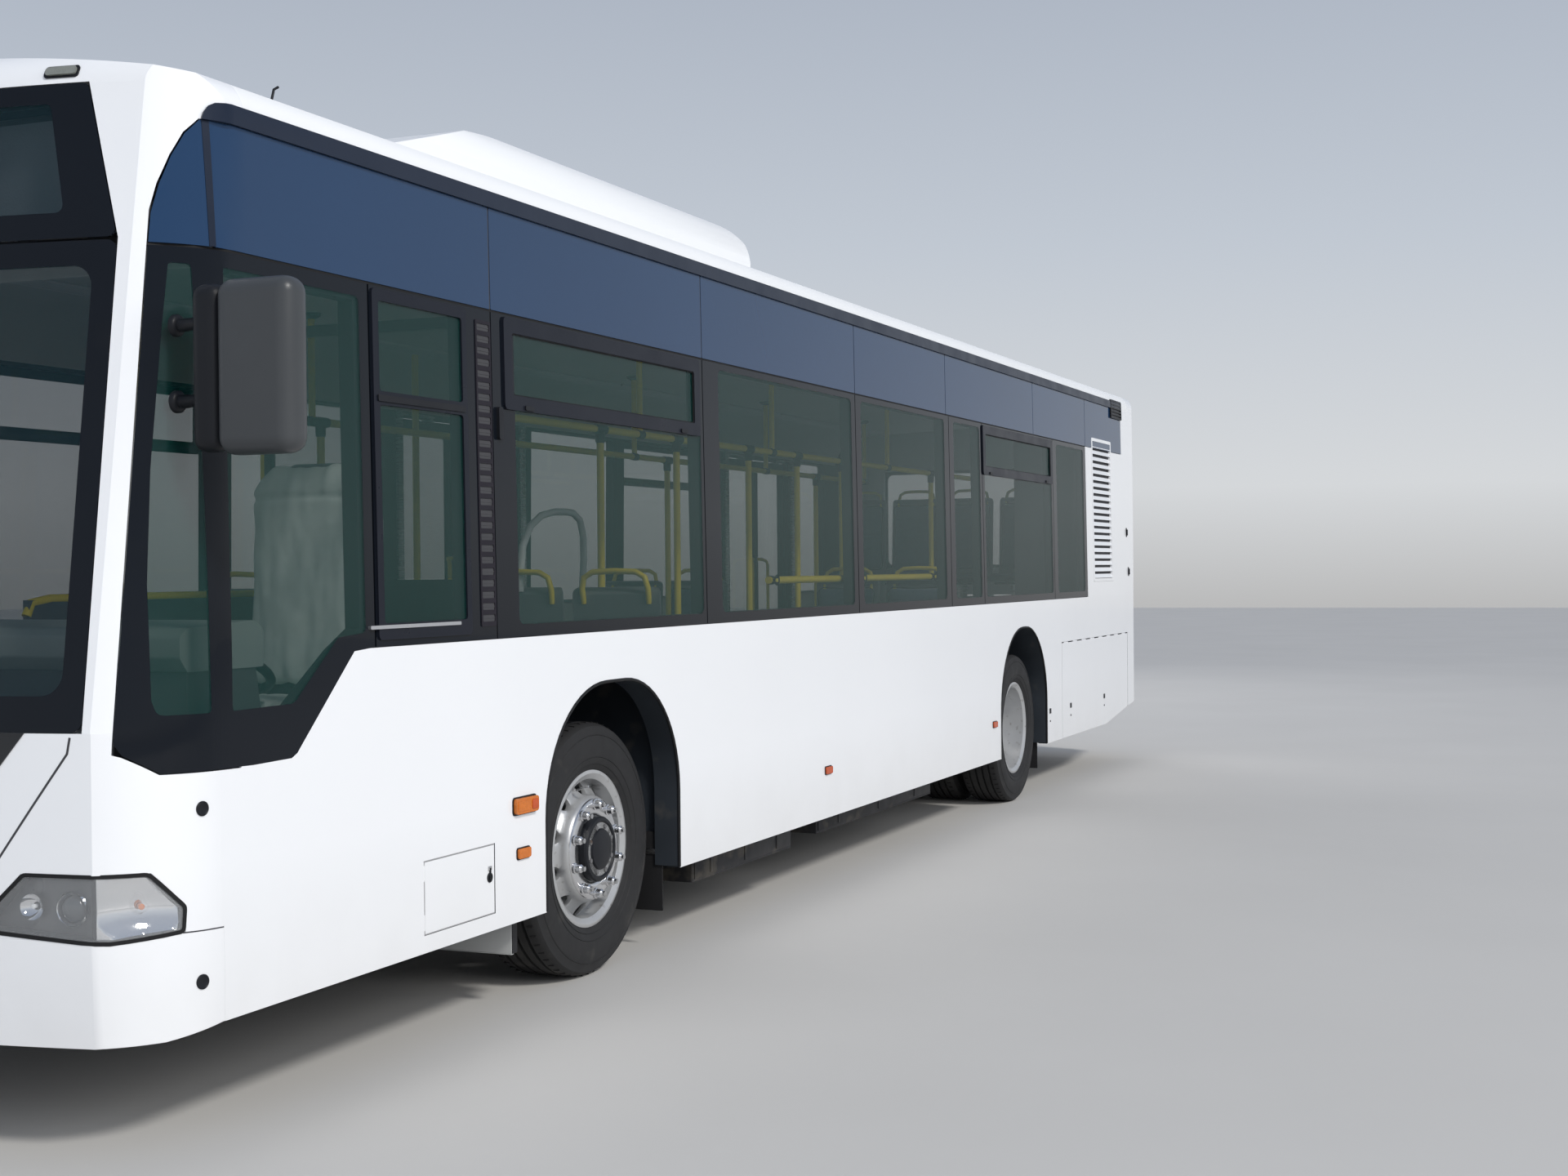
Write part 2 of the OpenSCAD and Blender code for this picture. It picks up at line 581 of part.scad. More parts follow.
module steering_wheel() color("black") translate(wheel_at) rotate([0, -wheel_tilt, 0]) {
    rotate_extrude($fn = 64) translate([225, 0]) circle(15, $fn = 24);
    translate([0, 0, -24]) cylinder(r = 45, h = 34);
    for (a = [0, 120, 240]) rotate([0, 0, a]) translate([0, -16, -15]) cube([222, 32, 10]);
}

// seats: x of the backrest's rear face, y of the middle, height of the feet, facing
// (1 forward, -1 rearward), top of a taller backrest
seat_list = [[4290, 700, cab_z, 1, 1280],
    [2640, 950, floor_z, -1], [2640, 500, floor_z, -1],
    [-1330, 950, floor_z, 1], [-1330, 500, floor_z, 1],
    [-1330, -950, floor_z, 1], [-1330, -500, floor_z, 1],
    [2640, -950, floor_z, -1],
    [-5580, 440, podium_z, 1], [-5580, -20, podium_z, 1], [-5580, -480, podium_z, 1],
    [-5580, -940, podium_z, 1]];
module seat(s) translate([s[0], s[1], s[2]]) mirror([s[3] < 0 ? 1 : 0, 0, 0]) {
    top = len(s) > 4 ? s[4] : 1090;
    half = len(s) > 4 ? 240 : 205;
    along_y(-half, half) polygon([[60, 400], [470, 415], [490, 455], [470, 480], [140, 470], [95, top], [20, top],
        [0, top - 30], [40, 420]]);
    box([180, -60, 0], [330, 60, 405]);
}
module seats() color("slategray") for (s = seat_list) seat(s);

// stanchions: x, y, foot height
posts = [[1760, 430, floor_z], [942, 430, floor_z], [35, 430, floor_z], [-671, 430, floor_z],
    [-732, -430, floor_z], [-1400, 430, floor_z], [-1400, -430, floor_z], [1560, -700, floor_z],
    [2720, -430, floor_z], [-3160, 430, floor_z], [-3160, -430, floor_z]];
module grab_rails() color("gold") {
    // rails overhead on both sides of the aisle, the posts under them, hangers above
    for (s = [-1, 1]) {
        translate([-4200, s * 430, 2180]) rotate([0, 90, 0]) cylinder(r = 17, h = 7000);
        for (x = [-4180, -2250, -300, 1350, 2780]) translate([x, s * 430, 2197 + joint]) cylinder(r = 15, h = 500);
    }
    for (p = posts) translate([p[0], p[1], p[2]]) cylinder(r = 17, h = (abs(p[1]) == 430 ? 2163 - joint : 2600) - p[2]);
    // rail along the left windows of the standing area, with its brackets
    translate([-870, 1180, 1475]) rotate([0, 90, 0]) cylinder(r = 17, h = 2420);
    for (x = [-840, 340, 1520]) box([x - 12, 1197 + joint, 1467], [x + 12, 1212, 1483]);
}

// ---- lids ----

// The upper lids hang on dashed barrels, flush in the joint above them.
module engine_lid() color("white") {
    box([xr, -714, 546], [xr + 40, 714, 1286]);
    for (y = [-560, -280, 0, 280, 560]) {
        translate([xr + 4.5, y - 60, 1290.5]) rotate([-90, 0, 0]) cylinder(r = 3.4, h = 120);
        box([xr + 2, y - 60, 1284], [xr + 7, y + 60, 1290]);
    }
}
module service_flap() color("white") {
    box([4156, hw - 25, 390], [4575, hw, 615]);
    for (z = [400, 555]) {
        translate([4578.5, hw - 3, z]) cylinder(r = 2.4, h = 50);
        box([4570, hw - 4.5, z], [4578.5, hw - 1.5, z + 50]);
    }
}
module side_flap() color("white") {
    difference() {
        box([-5554, hw - 40, 331], [-3476, hw, 992]);
        along_y(1000, 1400) polygon([[-4820, 0], [-4820, skirt_z + 2], [-5710, 436], [-5710, 0]]);
    }
    for (i = [0:7]) {
        translate([-5490 + 262 * i, hw - 4.5, 996]) rotate([0, 90, 0]) cylinder(r = 3.4, h = 116);
        box([-5490 + 262 * i, hw - 7, 990], [-5374 + 262 * i, hw - 2, 996]);
    }
}

// ---- doors on the right side ----
// Each leaf hangs on the end of two arms of a turning post. e = 1: post at the
// front of its doorway, e = -1: at the rear.

module door_post(x, e) translate([x + e * post_dx, post_y, 0]) {
    translate([0, 0, floor_z + 5]) cylinder(r = 20, h = leaf_z1 + 35 - floor_z - 5);
    for (z = [378, leaf_z1 + 12]) difference() {
        union() {
            box([min(0, -e * arm_l), -11, z], [max(0, -e * arm_l), 11, z + 12]);
            translate([-e * arm_l, 0, z]) cylinder(r = 22, h = 12);
        }
        translate([-e * arm_l, 0, z - 5]) cylinder(r = 8.1, h = 30);
    }
}
module door_leaf(x, e) translate([x + e * post_dx, 0, 0]) {
    a = -e * 42;             // edge beside the post
    b = -e * (42 + leaf_w);  // edge in the middle of the doorway
    color("black") difference() {
        box([min(a, b), leaf_y - leaf_t / 2, leaf_z0], [max(a, b), leaf_y + leaf_t / 2, leaf_z1]);
        box([min(a, b) + 50, leaf_y - 100, leaf_z0 + 70], [max(a, b) - 50, leaf_y + 100, leaf_z1 - 60]);
    }
    // pane
    color("darkslategray") box([min(a, b) + 50.5, leaf_y - 17, leaf_z0 + 70.5],
        [max(a, b) - 50.5, leaf_y - 11, leaf_z1 - 60.5]);
    // hinge brackets with their pins
    color("dimgray") for (z = [[leaf_z0, 1], [leaf_z1, -1]]) translate([-e * arm_l, 0, 0]) {
        box([-16, leaf_y + leaf_t / 2, min(z[0], z[0] + z[1] * 14)], [16, post_y + 14, max(z[0], z[0] + z[1] * 14)]);
        translate([0, post_y, z[1] > 0 ? 380 : leaf_z1 - 4]) cylinder(r = 8, h = 26);
    }
}
module front_door_post_a() color("dimgray") door_post(door_x[0], 1);
module front_door_leaf_a() door_leaf(door_x[0], 1);
module front_door_post_b() color("dimgray") door_post(door_x[0], -1);
module front_door_leaf_b() door_leaf(door_x[0], -1);
module middle_door_post_a() color("dimgray") door_post(door_x[1], 1);
module middle_door_leaf_a() door_leaf(door_x[1], 1);
module middle_door_post_b() color("dimgray") door_post(door_x[1], -1);
module middle_door_leaf_b() door_leaf(door_x[1], -1);
module rear_door_post_a() color("dimgray") door_post(door_x[2], 1);
module rear_door_leaf_a() door_leaf(door_x[2], 1);
module rear_door_post_b() color("dimgray") door_post(door_x[2], -1);
module rear_door_leaf_b() door_leaf(door_x[2], -1);

left_side_wall();
right_side_wall();
roof_shell();
floor();
floor_boxes();
front_mask();
front_bumper();
rear_body();
windows();
windscreen();
lamps();
mirrors();
roof_unit();
underframe();
engine();
axles();
driver_cab();
seats();
grab_rails();
steering_wheel();
knuckle_left();
knuckle_right();
front_left_tyre();
front_left_rim();
front_right_tyre();
front_right_rim();
rear_left_tyres();
rear_left_rims();
rear_right_tyres();
rear_right_rims();
engine_lid();
service_flap();
side_flap();
front_door_post_a();
front_door_leaf_a();
front_door_post_b();
front_door_leaf_b();
middle_door_post_a();
middle_door_leaf_a();
middle_door_post_b();
middle_door_leaf_b();
rear_door_post_a();
rear_door_leaf_a();
rear_door_post_b();
rear_door_leaf_b();
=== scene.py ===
"""Looks of the low-floor airport passenger bus. Metres, +X forward, +Y left, +Z up."""
import bpy
import bmesh
import math
import random
import numpy as np
from mathutils import Matrix, Vector
from mathutils.geometry import delaunay_2d_cdt


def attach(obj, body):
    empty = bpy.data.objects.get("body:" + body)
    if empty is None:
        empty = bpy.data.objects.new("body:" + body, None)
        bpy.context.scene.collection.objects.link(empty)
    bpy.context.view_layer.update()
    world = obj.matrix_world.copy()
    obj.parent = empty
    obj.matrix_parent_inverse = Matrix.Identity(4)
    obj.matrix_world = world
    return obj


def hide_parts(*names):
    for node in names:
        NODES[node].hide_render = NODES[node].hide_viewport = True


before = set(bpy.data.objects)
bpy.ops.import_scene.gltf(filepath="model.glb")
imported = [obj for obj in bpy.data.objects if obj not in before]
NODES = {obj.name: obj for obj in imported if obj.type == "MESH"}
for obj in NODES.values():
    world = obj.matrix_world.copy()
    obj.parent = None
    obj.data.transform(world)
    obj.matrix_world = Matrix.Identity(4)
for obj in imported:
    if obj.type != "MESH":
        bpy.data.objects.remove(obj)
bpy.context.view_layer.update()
rnd = random.Random(7)
scene = bpy.context.scene
COLL = scene.collection

# ---------------------------------------------------------------- camera
W_PX, H_PX, F_PX = 1920, 1440, 2391.2
yaw, pitch, roll = math.radians(202.362), math.radians(-0.578), math.radians(-0.489)
fwd = Vector((math.cos(yaw) * math.cos(pitch), math.sin(yaw) * math.cos(pitch), math.sin(pitch)))
r0 = Vector((math.sin(yaw), -math.cos(yaw), 0))
u0 = r0.cross(fwd)
right = math.cos(roll) * r0 + math.sin(roll) * u0
up = -math.sin(roll) * r0 + math.cos(roll) * u0
cam_data = bpy.data.cameras.new("photo_camera")
cam = bpy.data.objects.new("photo_camera", cam_data)
COLL.objects.link(cam)
cam_data.sensor_fit = "HORIZONTAL"
cam_data.sensor_width = 36.0
cam_data.lens = F_PX / W_PX * 36.0
cam_data.clip_end = 200
m = Matrix.Identity(4)
for i in range(3):
    m[i][0], m[i][1], m[i][2] = right[i], up[i], -fwd[i]
m.translation = (9.802, 4.652, 1.529)
cam.matrix_world = m
scene.camera = cam
scene.view_settings.view_transform = "Standard"

# ---------------------------------------------------------------- sizes shared with the construction
HW, XF, XR = 1.275, 5.975, -5.975
RAKE = math.radians(7.2)
CA, TA = math.cos(RAKE), math.tan(RAKE)
CREASE, FRONT_R, CR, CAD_, BROW_R, ROOF_Z = 1.120, 5.5, 0.360, 0.056, 0.150, 2.970
BROW_Z = ROOF_Z - BROW_R
BROW_X = FRONT_R - (BROW_Z - CREASE) * TA - BROW_R / CA
CROWN_R, SH_R, GUT_Y, GUT_Z = 7.4, 0.125, 1.253, 2.775
DOORS = {"front": 4.660, "middle": 0.350, "rear": -3.900}
AXLE_F, AXLE_R, TYRE_R = 3.275, -2.530, 0.478


def side_y(z):
    """Half width of the flat sides at height z."""
    if z <= 1.3:
        return HW
    if z <= GUT_Z:
        return HW - (HW - GUT_Y) * (z - 1.3) / (GUT_Z - 1.3)
    return GUT_Y - SH_R + math.sqrt(max(SH_R ** 2 - (z - GUT_Z) ** 2, 0))


def roof_z(y):
    a = abs(y)
    crown = ROOF_Z - CROWN_R + math.sqrt(CROWN_R ** 2 - a * a)
    if a > GUT_Y - SH_R:
        return min(crown, GUT_Z + math.sqrt(max(SH_R ** 2 - (a - GUT_Y + SH_R) ** 2, 0)))
    return crown


def front_x(y, z):
    """The front's outer surface: x at (y, z)."""
    a = abs(y)
    k = max(0.0, z - CREASE) * TA
    if z > BROW_Z + BROW_R * math.sin(RAKE):
        r = BROW_X + math.sqrt(max(BROW_R ** 2 - (z - BROW_Z) ** 2, 0))
    else:
        r = FRONT_R - k
    x = XF - FRONT_R + math.sqrt(r * r - a * a)
    if a > HW - CR:
        c = CA if z > CREASE else 1.0
        x = min(x, XF - (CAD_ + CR) / c - k + math.sqrt(max(CR ** 2 - (a - HW + CR) ** 2, 0)) / c)
    return x


def left_y(x, z):
    """The left side's outer surface, with the rounded front and rear corners: y at (x, z)."""
    y = side_y(z)
    c = CA if z > CREASE else 1.0
    k = max(0.0, z - CREASE) * TA
    dx = (x - (XF - (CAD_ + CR) / c - k)) * c
    if dx > 0:
        y = min(y, HW - CR + math.sqrt(max(CR ** 2 - dx * dx, 0)))
    dr = (XR + 0.2) - x
    if dr > 0:
        y = min(y, HW - 0.2 + math.sqrt(max(0.2 ** 2 - dr * dr, 0)))
    return y


def numeric_normal(f, u, v, e=0.002):
    p = Vector(f(u, v))
    a = Vector(f(u + e, v)) - Vector(f(u - e, v))
    b = Vector(f(u, v + e)) - Vector(f(u, v - e))
    n = a.cross(b)
    return p, n.normalized()


def LEFT(u, v):      # u = -x so that (u, v) is right-handed seen from outside
    return (-u, left_y(-u, v), v)


def RIGHT(u, v):     # u = x
    return (u, -left_y(u, v), v)


def FRONT(u, v):     # u = y
    return (front_x(u, v), u, v)


def REAR(u, v):      # u = -y
    return (XR, -u, v)


def TOP(u, v):       # u = x, v = y
    return (u, v, roof_z(v))


def plane(origin, du, dv):
    o, a, b = Vector(origin), Vector(du), Vector(dv)
    return lambda u, v: tuple(o + a * u + b * v)


# ---------------------------------------------------------------- materials
MATS = {}


def material(name, color, rough=0.5, metal=0.0, vary=0.04, scale=3.0, bump=0.0, bump_scale=120.0, rough_vary=0.06,
             alpha=1.0, spec=0.5, coat=0.0, coat_rough=0.05, ior=1.5, emit=0.0, emit_color=None, transmission=0.0,
             sheen=0.0, second=None, second_amount=0.0, second_scale=20.0, dust=0.0, dust_top=0.9, stretch=(1, 1, 1),
             bump_kind="noise"):
    mt = bpy.data.materials.new(name)
    mt.use_nodes = True
    nt = mt.node_tree
    nt.nodes.clear()
    out = nt.nodes.new("ShaderNodeOutputMaterial")
    b = nt.nodes.new("ShaderNodeBsdfPrincipled")
    nt.links.new(b.outputs[0], out.inputs[0])
    tc = nt.nodes.new("ShaderNodeTexCoord")
    mp = nt.nodes.new("ShaderNodeMapping")
    mp.inputs["Scale"].default_value = stretch
    nt.links.new(tc.outputs["Object"], mp.inputs[0])
    co = mp.outputs[0]

    def noise(s, detail=4.0):
        n = nt.nodes.new("ShaderNodeTexNoise")
        n.inputs["Scale"].default_value = s
        n.inputs["Detail"].default_value = detail
        nt.links.new(co, n.inputs["Vector"])
        return n.outputs["Fac"]

    def mix(a, bcol, fac):
        mx = nt.nodes.new("ShaderNodeMix")
        mx.data_type = "RGBA"
        for sock, val in ((mx.inputs[6], a), (mx.inputs[7], bcol)):
            if isinstance(val, tuple):
                sock.default_value = (*val, 1)
            else:
                nt.links.new(val, sock)
        if isinstance(fac, float):
            mx.inputs[0].default_value = fac
        else:
            nt.links.new(fac, mx.inputs[0])
        return mx.outputs[2]

    def ramp(src, lo, hi, to=(0.0, 1.0)):
        r = nt.nodes.new("ShaderNodeMapRange")
        r.inputs["From Min"].default_value = lo
        r.inputs["From Max"].default_value = hi
        r.inputs["To Min"].default_value = to[0]
        r.inputs["To Max"].default_value = to[1]
        nt.links.new(src, r.inputs["Value"])
        return r.outputs["Result"]

    col = mix(tuple(c * (1 - vary) for c in color), tuple(min(1, c * (1 + vary)) for c in color),
              ramp(noise(scale), 0.3, 0.7))
    if second is not None:
        col = mix(col, second, ramp(noise(second_scale, 8), 0.62 - second_amount * 0.25, 0.72 - second_amount * 0.25))
    rough_out = ramp(noise(scale * 2.3, 6), 0.3, 0.7, (max(rough - rough_vary, 0.02), min(rough + rough_vary, 1)))
    if dust > 0:
        sep = nt.nodes.new("ShaderNodeSeparateXYZ")
        nt.links.new(tc.outputs["Object"], sep.inputs[0])
        low = ramp(sep.outputs["Z"], dust_top, 0.25)
        ml = nt.nodes.new("ShaderNodeMath")
        ml.operation = "MULTIPLY"
        nt.links.new(low, ml.inputs[0])
        nt.links.new(ramp(noise(5.0, 10), 0.35, 0.75, (0.15, dust)), ml.inputs[1])
        col = mix(col, (0.36, 0.33, 0.29), ml.outputs[0])
        ad = nt.nodes.new("ShaderNodeMath")
        ad.operation = "MULTIPLY_ADD"
        nt.links.new(ml.outputs[0], ad.inputs[0])
        ad.inputs[1].default_value = 0.5
        nt.links.new(rough_out, ad.inputs[2])
        rough_out = ad.outputs[0]
    nt.links.new(col, b.inputs["Base Color"])
    nt.links.new(rough_out, b.inputs["Roughness"])
    b.inputs["Metallic"].default_value = metal
    b.inputs["IOR"].default_value = ior
    b.inputs["Specular IOR Level"].default_value = spec
    b.inputs["Alpha"].default_value = alpha
    b.inputs["Coat Weight"].default_value = coat
    b.inputs["Coat Roughness"].default_value = coat_rough
    b.inputs["Transmission Weight"].default_value = transmission
    b.inputs["Sheen Weight"].default_value = sheen
    if emit > 0:
        b.inputs["Emission Color"].default_value = (*(emit_color or color), 1)
        b.inputs["Emission Strength"].default_value = emit
    if bump > 0:
        bp = nt.nodes.new("ShaderNodeBump")
        bp.inputs["Strength"].default_value = min(1.0, bump)
        bp.inputs["Distance"].default_value = 0.002
        if bump_kind == "weave":
            w1 = nt.nodes.new("ShaderNodeTexWave")
            w1.wave_type = "BANDS"
            w1.bands_direction = "DIAGONAL"
            w1.inputs["Scale"].default_value = bump_scale
            w1.inputs["Distortion"].default_value = 0.5
            nt.links.new(co, w1.inputs["Vector"])
            nt.links.new(w1.outputs["Fac"], bp.inputs["Height"])
        elif bump_kind == "voronoi":
            vo = nt.nodes.new("ShaderNodeTexVoronoi")
            vo.inputs["Scale"].default_value = bump_scale
            nt.links.new(co, vo.inputs["Vector"])
            nt.links.new(vo.outputs["Distance"], bp.inputs["Height"])
        else:
            nt.links.new(noise(bump_scale, 3), bp.inputs["Height"])
        nt.links.new(bp.outputs[0], b.inputs["Normal"])
    if alpha < 1:
        mt.surface_render_method = "BLENDED"
    MATS[name] = mt
    return mt


M = {}
M["white"] = material("white_gloss_paint", (0.83, 0.84, 0.86), 0.16, vary=0.012, scale=0.8, bump=0.035, bump_scale=55,
                      rough_vary=0.03, coat=0.35, coat_rough=0.04, dust=0.22, dust_top=0.75)
M["white_top"] = material("white_roof_paint", (0.82, 0.83, 0.84), 0.34, vary=0.010, scale=0.9, bump=0.008, bump_scale=50, rough_vary=0.02)
M["strip"] = material("navy_gutter_strip", (0.008, 0.014, 0.030), 0.35, vary=0.05, bump=0.04, bump_scale=200, spec=0.35)
M["grille_grey"] = material("grey_grille", (0.020, 0.018, 0.024), 0.5, vary=0.05, bump=0.1, bump_scale=300, spec=0.10)
M["wall_inner"] = material("dark_wall_edge", (0.030, 0.034, 0.038), 0.55, vary=0.06, bump=0.1, bump_scale=200, spec=0.3)
M["lining"] = material("pale_grey_lining", (0.62, 0.63, 0.62), 0.55, vary=0.03, bump=0.12, bump_scale=260)
M["glass"] = material("tinted_green_glass", (0.007, 0.044, 0.040), 0.03, vary=0.02, rough_vary=0.008, alpha=0.38, spec=0.40, ior=1.5)
M["glass_front"] = material("windscreen_glass", (0.006, 0.026, 0.034), 0.025, vary=0.02, rough_vary=0.008, alpha=0.32, spec=0.40, ior=1.5)
M["frit"] = material("black_glazing_border", (0.006, 0.008, 0.012), 0.04, vary=0.05, rough_vary=0.01, spec=0.20, ior=1.5)
M["cover"] = material("blue_black_cover_panel", (0.013, 0.040, 0.098), 0.05, vary=0.05, scale=0.7, rough_vary=0.012, spec=0.40, ior=1.5)
M["black"] = material("black_plastic", (0.012, 0.013, 0.016), 0.42, vary=0.08, bump=0.15, bump_scale=420, spec=0.20)
M["gloss_black"] = material("gloss_black_panel", (0.012, 0.013, 0.015), 0.07, vary=0.05, coat=0.3)
M["rubber"] = material("black_rubber_seal", (0.012, 0.012, 0.013), 0.62, vary=0.1, bump=0.1, bump_scale=300, spec=0.25)
M["seam"] = material("dark_joint", (0.05, 0.05, 0.055), 0.8, vary=0.1)
M["tyre"] = material("tyre_rubber", (0.020, 0.020, 0.021), 0.70, vary=0.06, scale=6, bump=0.20, bump_scale=240, second=(0.034, 0.033, 0.032), second_amount=0.10, second_scale=9, spec=0.35)
M["rim"] = material("silver_wheel_paint", (0.50, 0.505, 0.51), 0.34, metal=0.55, vary=0.04, scale=9, bump=0.05, bump_scale=160, second=(0.34, 0.33, 0.32), second_amount=0.06, second_scale=30)
M["nut"] = material("bright_nut_ring", (0.72, 0.72, 0.73), 0.18, metal=0.95, vary=0.04, scale=14)
M["steel"] = material("brushed_steel", (0.58, 0.58, 0.58), 0.28, metal=1.0, vary=0.04, bump=0.06, bump_scale=60, stretch=(1, 1, 14))
M["chrome"] = material("bright_reflector", (0.82, 0.82, 0.82), 0.06, metal=1.0, vary=0.01)
M["chassis"] = material("chassis_black", (0.016, 0.016, 0.018), 0.55, vary=0.15, bump=0.2, bump_scale=90, second=(0.050, 0.045, 0.038), second_amount=0.25, second_scale=9, spec=0.3)
M["iron"] = material("cast_iron_grey", (0.16, 0.16, 0.165), 0.6, metal=0.4, vary=0.12, bump=0.4, bump_scale=150, second=(0.10, 0.07, 0.05), second_amount=0.2)
M["vinyl"] = material("speckled_floor_vinyl", (0.115, 0.122, 0.135), 0.48, vary=0.08, bump=0.12, bump_scale=300, second=(0.30, 0.31, 0.33), second_amount=0.15, second_scale=260)
M["alu"] = material("ribbed_aluminium", (0.66, 0.66, 0.67), 0.32, metal=0.9, vary=0.04, bump=0.05, bump_scale=80)
M["yellow"] = material("yellow_powder_coat", (0.90, 0.72, 0.04), 0.32, vary=0.04, bump=0.06, bump_scale=300)
M["desk"] = material("grey_desk_plastic", (0.10, 0.108, 0.115), 0.5, vary=0.06, bump=0.22, bump_scale=380)
M["panel_grey"] = material("light_grey_plastic", (0.42, 0.43, 0.43), 0.45, vary=0.04, bump=0.12, bump_scale=380)
M["fabric"] = material("seat_fabric", (0.115, 0.150, 0.225), 0.85, vary=0.10, scale=40, bump=0.55, bump_scale=260, bump_kind="weave", sheen=0.25, second=(0.20, 0.24, 0.31), second_amount=0.15, second_scale=90)
M["seat_cover"] = material("pale_seat_cover_cloth", (0.84, 0.95, 0.90), 0.85, vary=0.06, scale=18, bump=0.4, bump_scale=300, bump_kind="weave", sheen=0.2)
M["seat_shell"] = material("grey_seat_shell", (0.24, 0.25, 0.27), 0.42, vary=0.05, bump=0.15, bump_scale=380)
M["lens"] = material("clear_lamp_lens", (0.80, 0.82, 0.84), 0.03, vary=0.01, alpha=0.10, spec=0.6, ior=1.45)
M["projector"] = material("dark_projector_lens", (0.050, 0.055, 0.060), 0.04, vary=0.02, spec=0.8)
M["lamp_bowl"] = material("lamp_housing_grey", (0.10, 0.103, 0.105), 0.30, metal=0.5, vary=0.06)
M["amber"] = material("amber_lens", (0.56, 0.150, 0.016), 0.14, vary=0.10, scale=60, bump=0.4, bump_scale=180, bump_kind="voronoi", spec=0.4)
M["red"] = material("red_lens", (0.52, 0.012, 0.010), 0.12, vary=0.08, scale=60, bump=0.4, bump_scale=180, bump_kind="voronoi", coat=0.4)
M["clear_lens"] = material("milky_lens", (0.72, 0.73, 0.74), 0.12, vary=0.04, scale=60, bump=0.4, bump_scale=180, bump_kind="voronoi", coat=0.4)
M["light_strip"] = material("ceiling_light_strip", (0.62, 0.63, 0.64), 0.4, vary=0.02)
M["mirror"] = material("mirror_glass", (0.80, 0.82, 0.84), 0.02, metal=1.0, vary=0.01, rough_vary=0.005)
M["mirror_shell"] = material("dark_grey_mirror_shell", (0.050, 0.054, 0.058), 0.38, vary=0.06, bump=0.15, bump_scale=420, spec=0.4)
M["screen_black"] = material("dark_display", (0.010, 0.012, 0.016), 0.10, vary=0.05, coat=0.3)
M["plate"] = material("blank_plate_white", (0.78, 0.78, 0.76), 0.3, vary=0.02)
M["gasket"] = M["rubber"]
# pale grey joints on the roof; in the gap round the service flap the same grey is a painted highlight
M["seam_light"] = material("light_joint_and_painted_highlight", (0.40, 0.40, 0.41), 0.7, vary=0.05)
M["amber_deep"] = material("deep_orange_lens", (0.48, 0.075, 0.014), 0.14, vary=0.10, scale=60, bump=0.4, bump_scale=180, bump_kind="voronoi", spec=0.4)
M["smoke"] = material("smoked_marker_lens", (0.20, 0.21, 0.19), 0.10, vary=0.08, scale=40, bump=0.3, bump_scale=220, bump_kind="voronoi", coat=0.4)
M["liner"] = material("black_arch_liner", (0.030, 0.036, 0.044), 0.45, vary=0.15, bump=0.2, bump_scale=60, second=(0.060, 0.060, 0.060), second_amount=0.12, second_scale=7, spec=0.35)
M["display"] = material("display_housing", (0.050, 0.055, 0.062), 0.45, vary=0.05)
M["display_face"] = material("blank_display_face", (0.16, 0.19, 0.22), 0.35, vary=0.05, bump=0.5, bump_scale=150, bump_kind="voronoi")
M["hood"] = material("grey_green_dash_plastic", (0.34, 0.40, 0.38), 0.50, vary=0.05, bump=0.2, bump_scale=300)
M["inner_glass"] = material("inner_clear_glass", (0.30, 0.36, 0.35), 0.04, vary=0.02, alpha=0.20, spec=0.6)
M["hoop_grey"] = material("light_grey_handle", (0.72, 0.75, 0.75), 0.35, vary=0.04)
M["piping"] = material("dark_piping", (0.035, 0.038, 0.050), 0.7, vary=0.1, bump=0.3, bump_scale=400)
M["frame_grey"] = material("anthracite_window_frame", (0.011, 0.013, 0.020), 0.32, vary=0.05, bump=0.05, bump_scale=300, spec=0.14)


